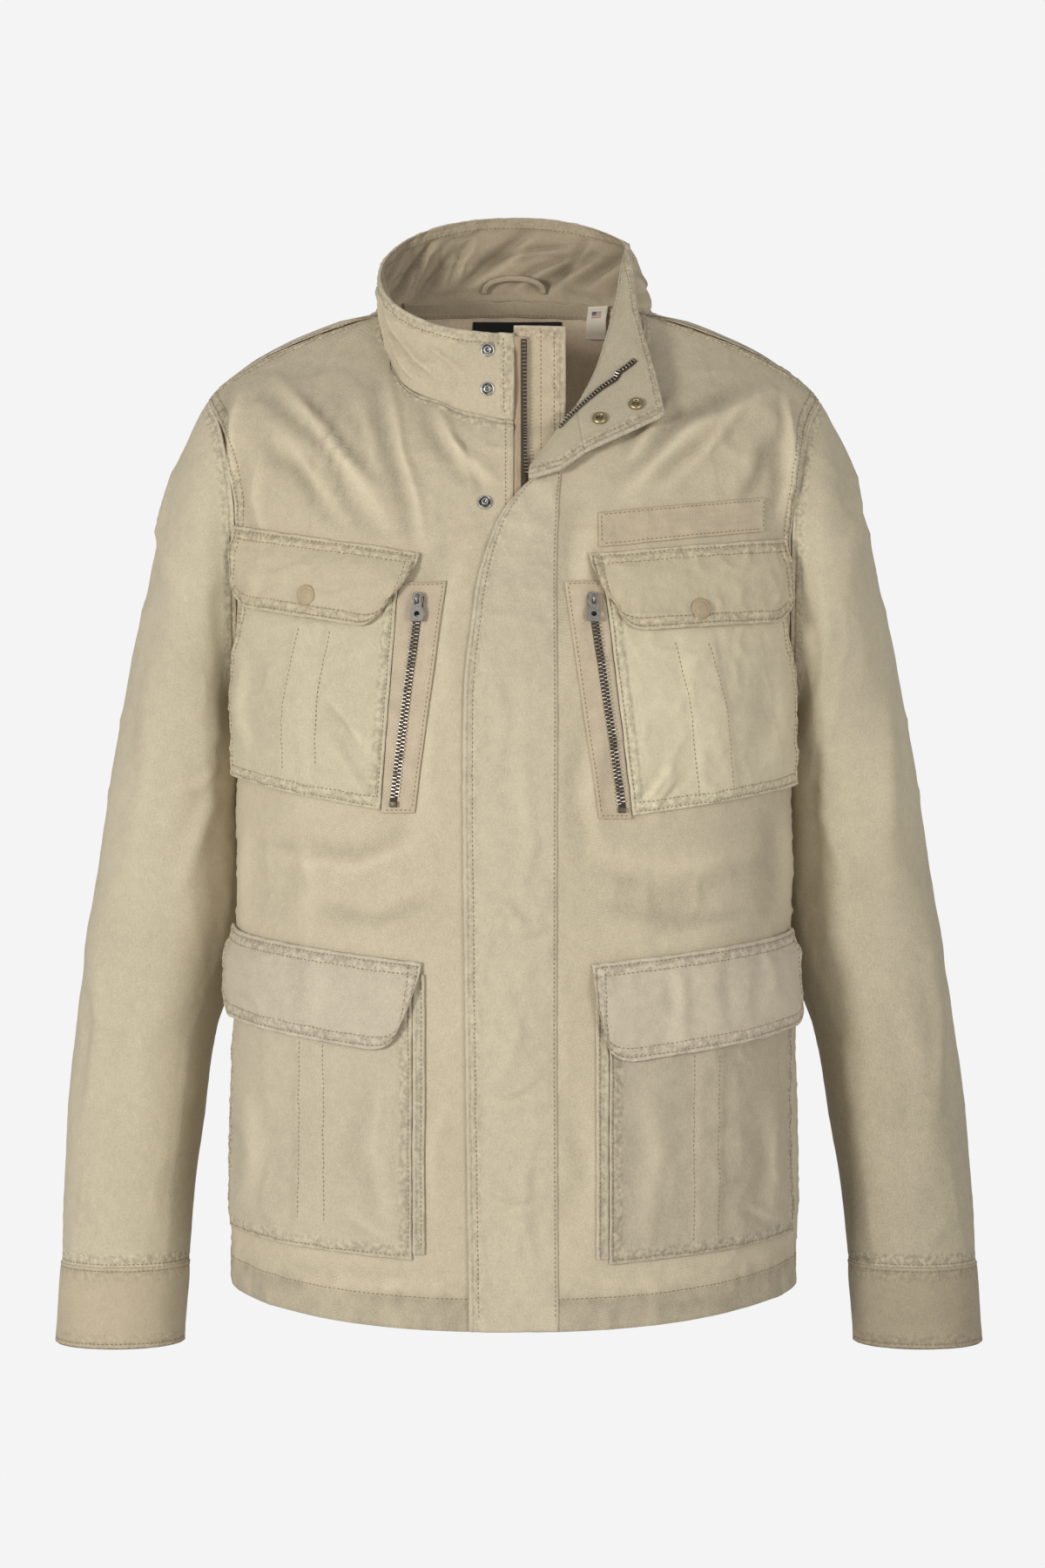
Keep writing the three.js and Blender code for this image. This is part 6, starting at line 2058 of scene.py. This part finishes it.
def build_pulls():
    for side, row in CHEST.items():
        lift = REST + FACING_RISE + 0.4 + SLIDER["thick"] + SLIDER["clear"]
        seat = seat_on_front((row["chainTop"] + PIVOT_IN) * row["sign"], PIVOT_Z, lift)
        half = SLIDER["width"] / 2
        low = -SLIDER["length"] / 2
        body = [(-SLIDER["neck"] / 2, low), (SLIDER["neck"] / 2, low), (half, low + 4), (half, 2.2),
                (half * 0.8, 4.2), (1.2, -low), (-1.2, -low), (-half * 0.8, 4.2), (-half, 2.2),
                (-half, low + 4)]
        top = -SLIDER["clear"]
        piece = outline_solid(f"slider_{side}", body, [], top - 1.1, top, seat, STEEL, 0.35)
        lower = outline_solid(f"slider_base_{side}", body, [], top - SLIDER["thick"], top - 2.2, seat,
                              STEEL, 0.3)
        post, post_faces = box_points(0, 3.4, top - 1.6, 2.6, 2.4, 1.6)
        arch = arch_mesh(side, seat)
        middle = new_mesh(f"slider_post_{side}", placed_on(post, seat), post_faces, [STEEL])
        finish_piece(piece, "jacket", "steel", f"zip_slider_{side}")
        for extra in (lower, middle, arch):
            finish_piece(extra, "jacket", "steel")
        build_tab(side, seat)


def arch_mesh(side, seat):
    """The slider's arch: a bar of round section bent over the tab's bar, along the zip."""
    count, around = 26, 10
    mean = (ARCH["inner"] + ARCH["outer"]) / 2
    bend = [(0.0, -mean * math.cos(a), mean * math.sin(a)) for a in np.linspace(0, math.pi, count)]
    path = np.array([(0.0, -mean, -0.5), *bend, (0.0, mean, -0.5)])
    angles = np.linspace(0, 2 * math.pi, around, endpoint=False)
    rings = []
    for k, point in enumerate(path):
        ahead = path[min(k + 1, len(path) - 1)] - path[max(k - 1, 0)]
        way = ahead / np.linalg.norm(ahead)
        side_way = np.array((1.0, 0, 0))
        normal = np.cross(way, side_way)
        rings.append([point + side_way * math.cos(a) * 0.85 + normal * math.sin(a) * 0.5 for a in angles])
    points = np.array(rings).reshape(-1, 3)
    i = np.arange(around)
    faces = np.concatenate([
        np.stack([k * around + i, k * around + (i + 1) % around, (k + 1) * around + (i + 1) % around,
                  (k + 1) * around + i], axis=1) for k in range(len(path) - 1)])
    points[:, 2] -= SLIDER["clear"]
    piece = new_mesh(f"slider_arch_{side}", placed_on(points, seat), faces, [STEEL])
    close_ends(piece)
    return piece


def build_tab(side, seat):
    half = TAB["width"] / 2
    long = TAB["length"]
    outer = [(-2.8, TAB["bar"]), (-3.0, -5.0), (-half, -10.2), (-half, 3.4 - long)]
    outer += arc(0, 3.4 - long + 0.2, half, math.pi, 2 * math.pi, 16)
    outer += [(half, 3.4 - long), (half, -10.2), (3.0, -5.0), (2.8, TAB["bar"])]
    outer = [(x, max(y, -long)) for x, y in outer]
    slot = [(-TAB["hole_half"], TAB["hole_top"]), (-TAB["hole_half"], TAB["hole_low"]),
            (TAB["hole_half"], TAB["hole_low"]), (TAB["hole_half"], TAB["hole_top"])]
    eye = arc(0, -11.2, TAB["eye"], 2 * math.pi, 2 * math.pi / 24, 24)
    deep = TAB["thick"] / 2
    piece = outline_solid(f"tab_{side}", outer, [slot, eye], -deep, deep, seat, STEEL, 0.28)
    finish_piece(piece, f"pull_{side}", "steel", f"pull_tab_{side}")


STUD = [(0.01, 0), (5.0, 0), (5.15, 0.35), (5.1, 0.9), (4.8, 1.35), (4.4, 1.5), (4.0, 1.35), (3.7, 0.4),
        (2.9, 0.35), (2.75, 1.2), (2.6, 2.2), (2.35, 2.65), (1.9, 2.8), (1.5, 2.6), (1.35, 1.1),
        (0.01, 1.0)]
SOCKET = [(0.01, 0), (5.2, 0), (5.45, 0.4), (5.35, 1.1), (4.9, 1.8), (4.2, 2.2), (3.4, 2.3), (2.8, 2.1),
          (2.45, 1.6), (2.3, 1.0), (1.4, 0.9), (0.01, 0.9)]
CAP = [(0.01, 0), (7.0, 0), (7.3, 0.3), (7.2, 0.8), (6.6, 1.35), (5.8, 1.6), (5.5, 1.45),
       (5.2, 1.5), (4.6, 1.8), (2.5, 2.0), (0.01, 2.05)]


# The studs on the collar by place across, height and lift, and the sockets by row and place across.
STUDS = (("stud_top", -18.4, -36, 0.0), ("stud_middle", -18.4, -64, 0.8))
SOCKETS = (("socket_tip", 4.15, 0.71), ("socket_inner", 4.7, 0.61))
LOW_STUD = (-20, -147, 0.5)


def build_fasteners():
    for name, x, z, off in STUDS:
        lean = (z - NECK_FRONT) / (COLLAR_FRONT_TOP - NECK_FRONT)
        bulge = 2.5 * math.sin(math.pi * lean)
        point = np.array((x, -82.2 + off + 5 * lean - bulge, z))
        piece = turned_piece(f"ring_{name}", STUD, point, (-0.12, -1, 0), STUD_STEEL)
        finish_piece(piece, "jacket", "steel", name)
    seat = seat_on_front(*LOW_STUD)
    piece = turned_piece("ring_stud_low", STUD, seat[0], seat[3], STUD_STEEL)
    finish_piece(piece, "jacket", "steel", "stud_low")
    for name, row, across in SOCKETS:
        rows = np.array([row])
        face = lapel_face(rows)[0]
        point = mix(roll_at(rows) + ROLL_APART, edge_at(rows), across)[0]
        point = point + face * (2.5 * math.sin(math.pi * across) + DOUBLE + 0.6)
        piece = turned_piece(f"ring_{name}", SOCKET, point, face, BRASS)
        finish_piece(piece, "jacket", "brass", name)
    for side, row in CHEST.items():
        lift = REST + POCKET_RISE + CLOTH + 1.4 + DOUBLE + 0.4
        seat = seat_on_front(row["snapAt"] * row["sign"], row["snapZ"], lift)
        piece = turned_piece(f"cap_{side}", CAP, seat[0], seat[3], CAP_PAINT)
        finish_piece(piece, "jacket", "tape", f"snap_cap_{side}")


def build_labels():
    tape = dict(inner=60, outer=184, topIn=-155, topOut=-141, lowIn=-179, lowOut=-165)
    surface = strip_on_front(
        lambda u, v: mix(tape["inner"], tape["outer"], u),
        lambda u, v: mix(mix(tape["topIn"], tape["topOut"], u), mix(tape["lowIn"], tape["lowOut"], u), v),
        REST + 1)
    cloth = Cloth(surface, 80, 18)
    dress("cloth_name_tape", cloth, 1.0, [NAME_TAPE, NAME_TAPE], "stretched", "tape", "name_tape")
    for edge in ("left", "right", "top", "bottom"):
        sew_edge(cloth, edge, 1.8, 0.02, 0.98)
    parts = [
        ("neck_binding", binding_surface, 60, 8, 0.8, TWILL["inner_collar_painted_shade"], "twill"),
        ("neck_label", label_surface, 30, 22, 0.7, DARK_LABEL, "dark_label"),
        ("size_label", size_surface, 10, 16, 0.6, SIZE_LABEL, "pale_label"),
        ("hanger_loop", loop_surface, 6, 60, 1.2, TWILL["inner_collar_painted_shade"], "twill"),
    ]
    for name, surface, columns, rows, thick, look, slot in parts:
        cloth = Cloth(surface, columns, rows)
        dress(f"cloth_{name}", cloth, thick, [look, look], "stretched", slot, name)
        if name == "neck_binding":
            sew_edge(cloth, "bottom", 1.6, 0.02, 0.98)


build_fronts()
build_back()
build_sleeves()
build_collar()
build_placket()
build_pockets()
build_gussets()
build_chest_zips()
build_pulls()
build_fasteners()
build_labels()
finish_piece(build_stitches("stitching", THREAD), "jacket", "twill")
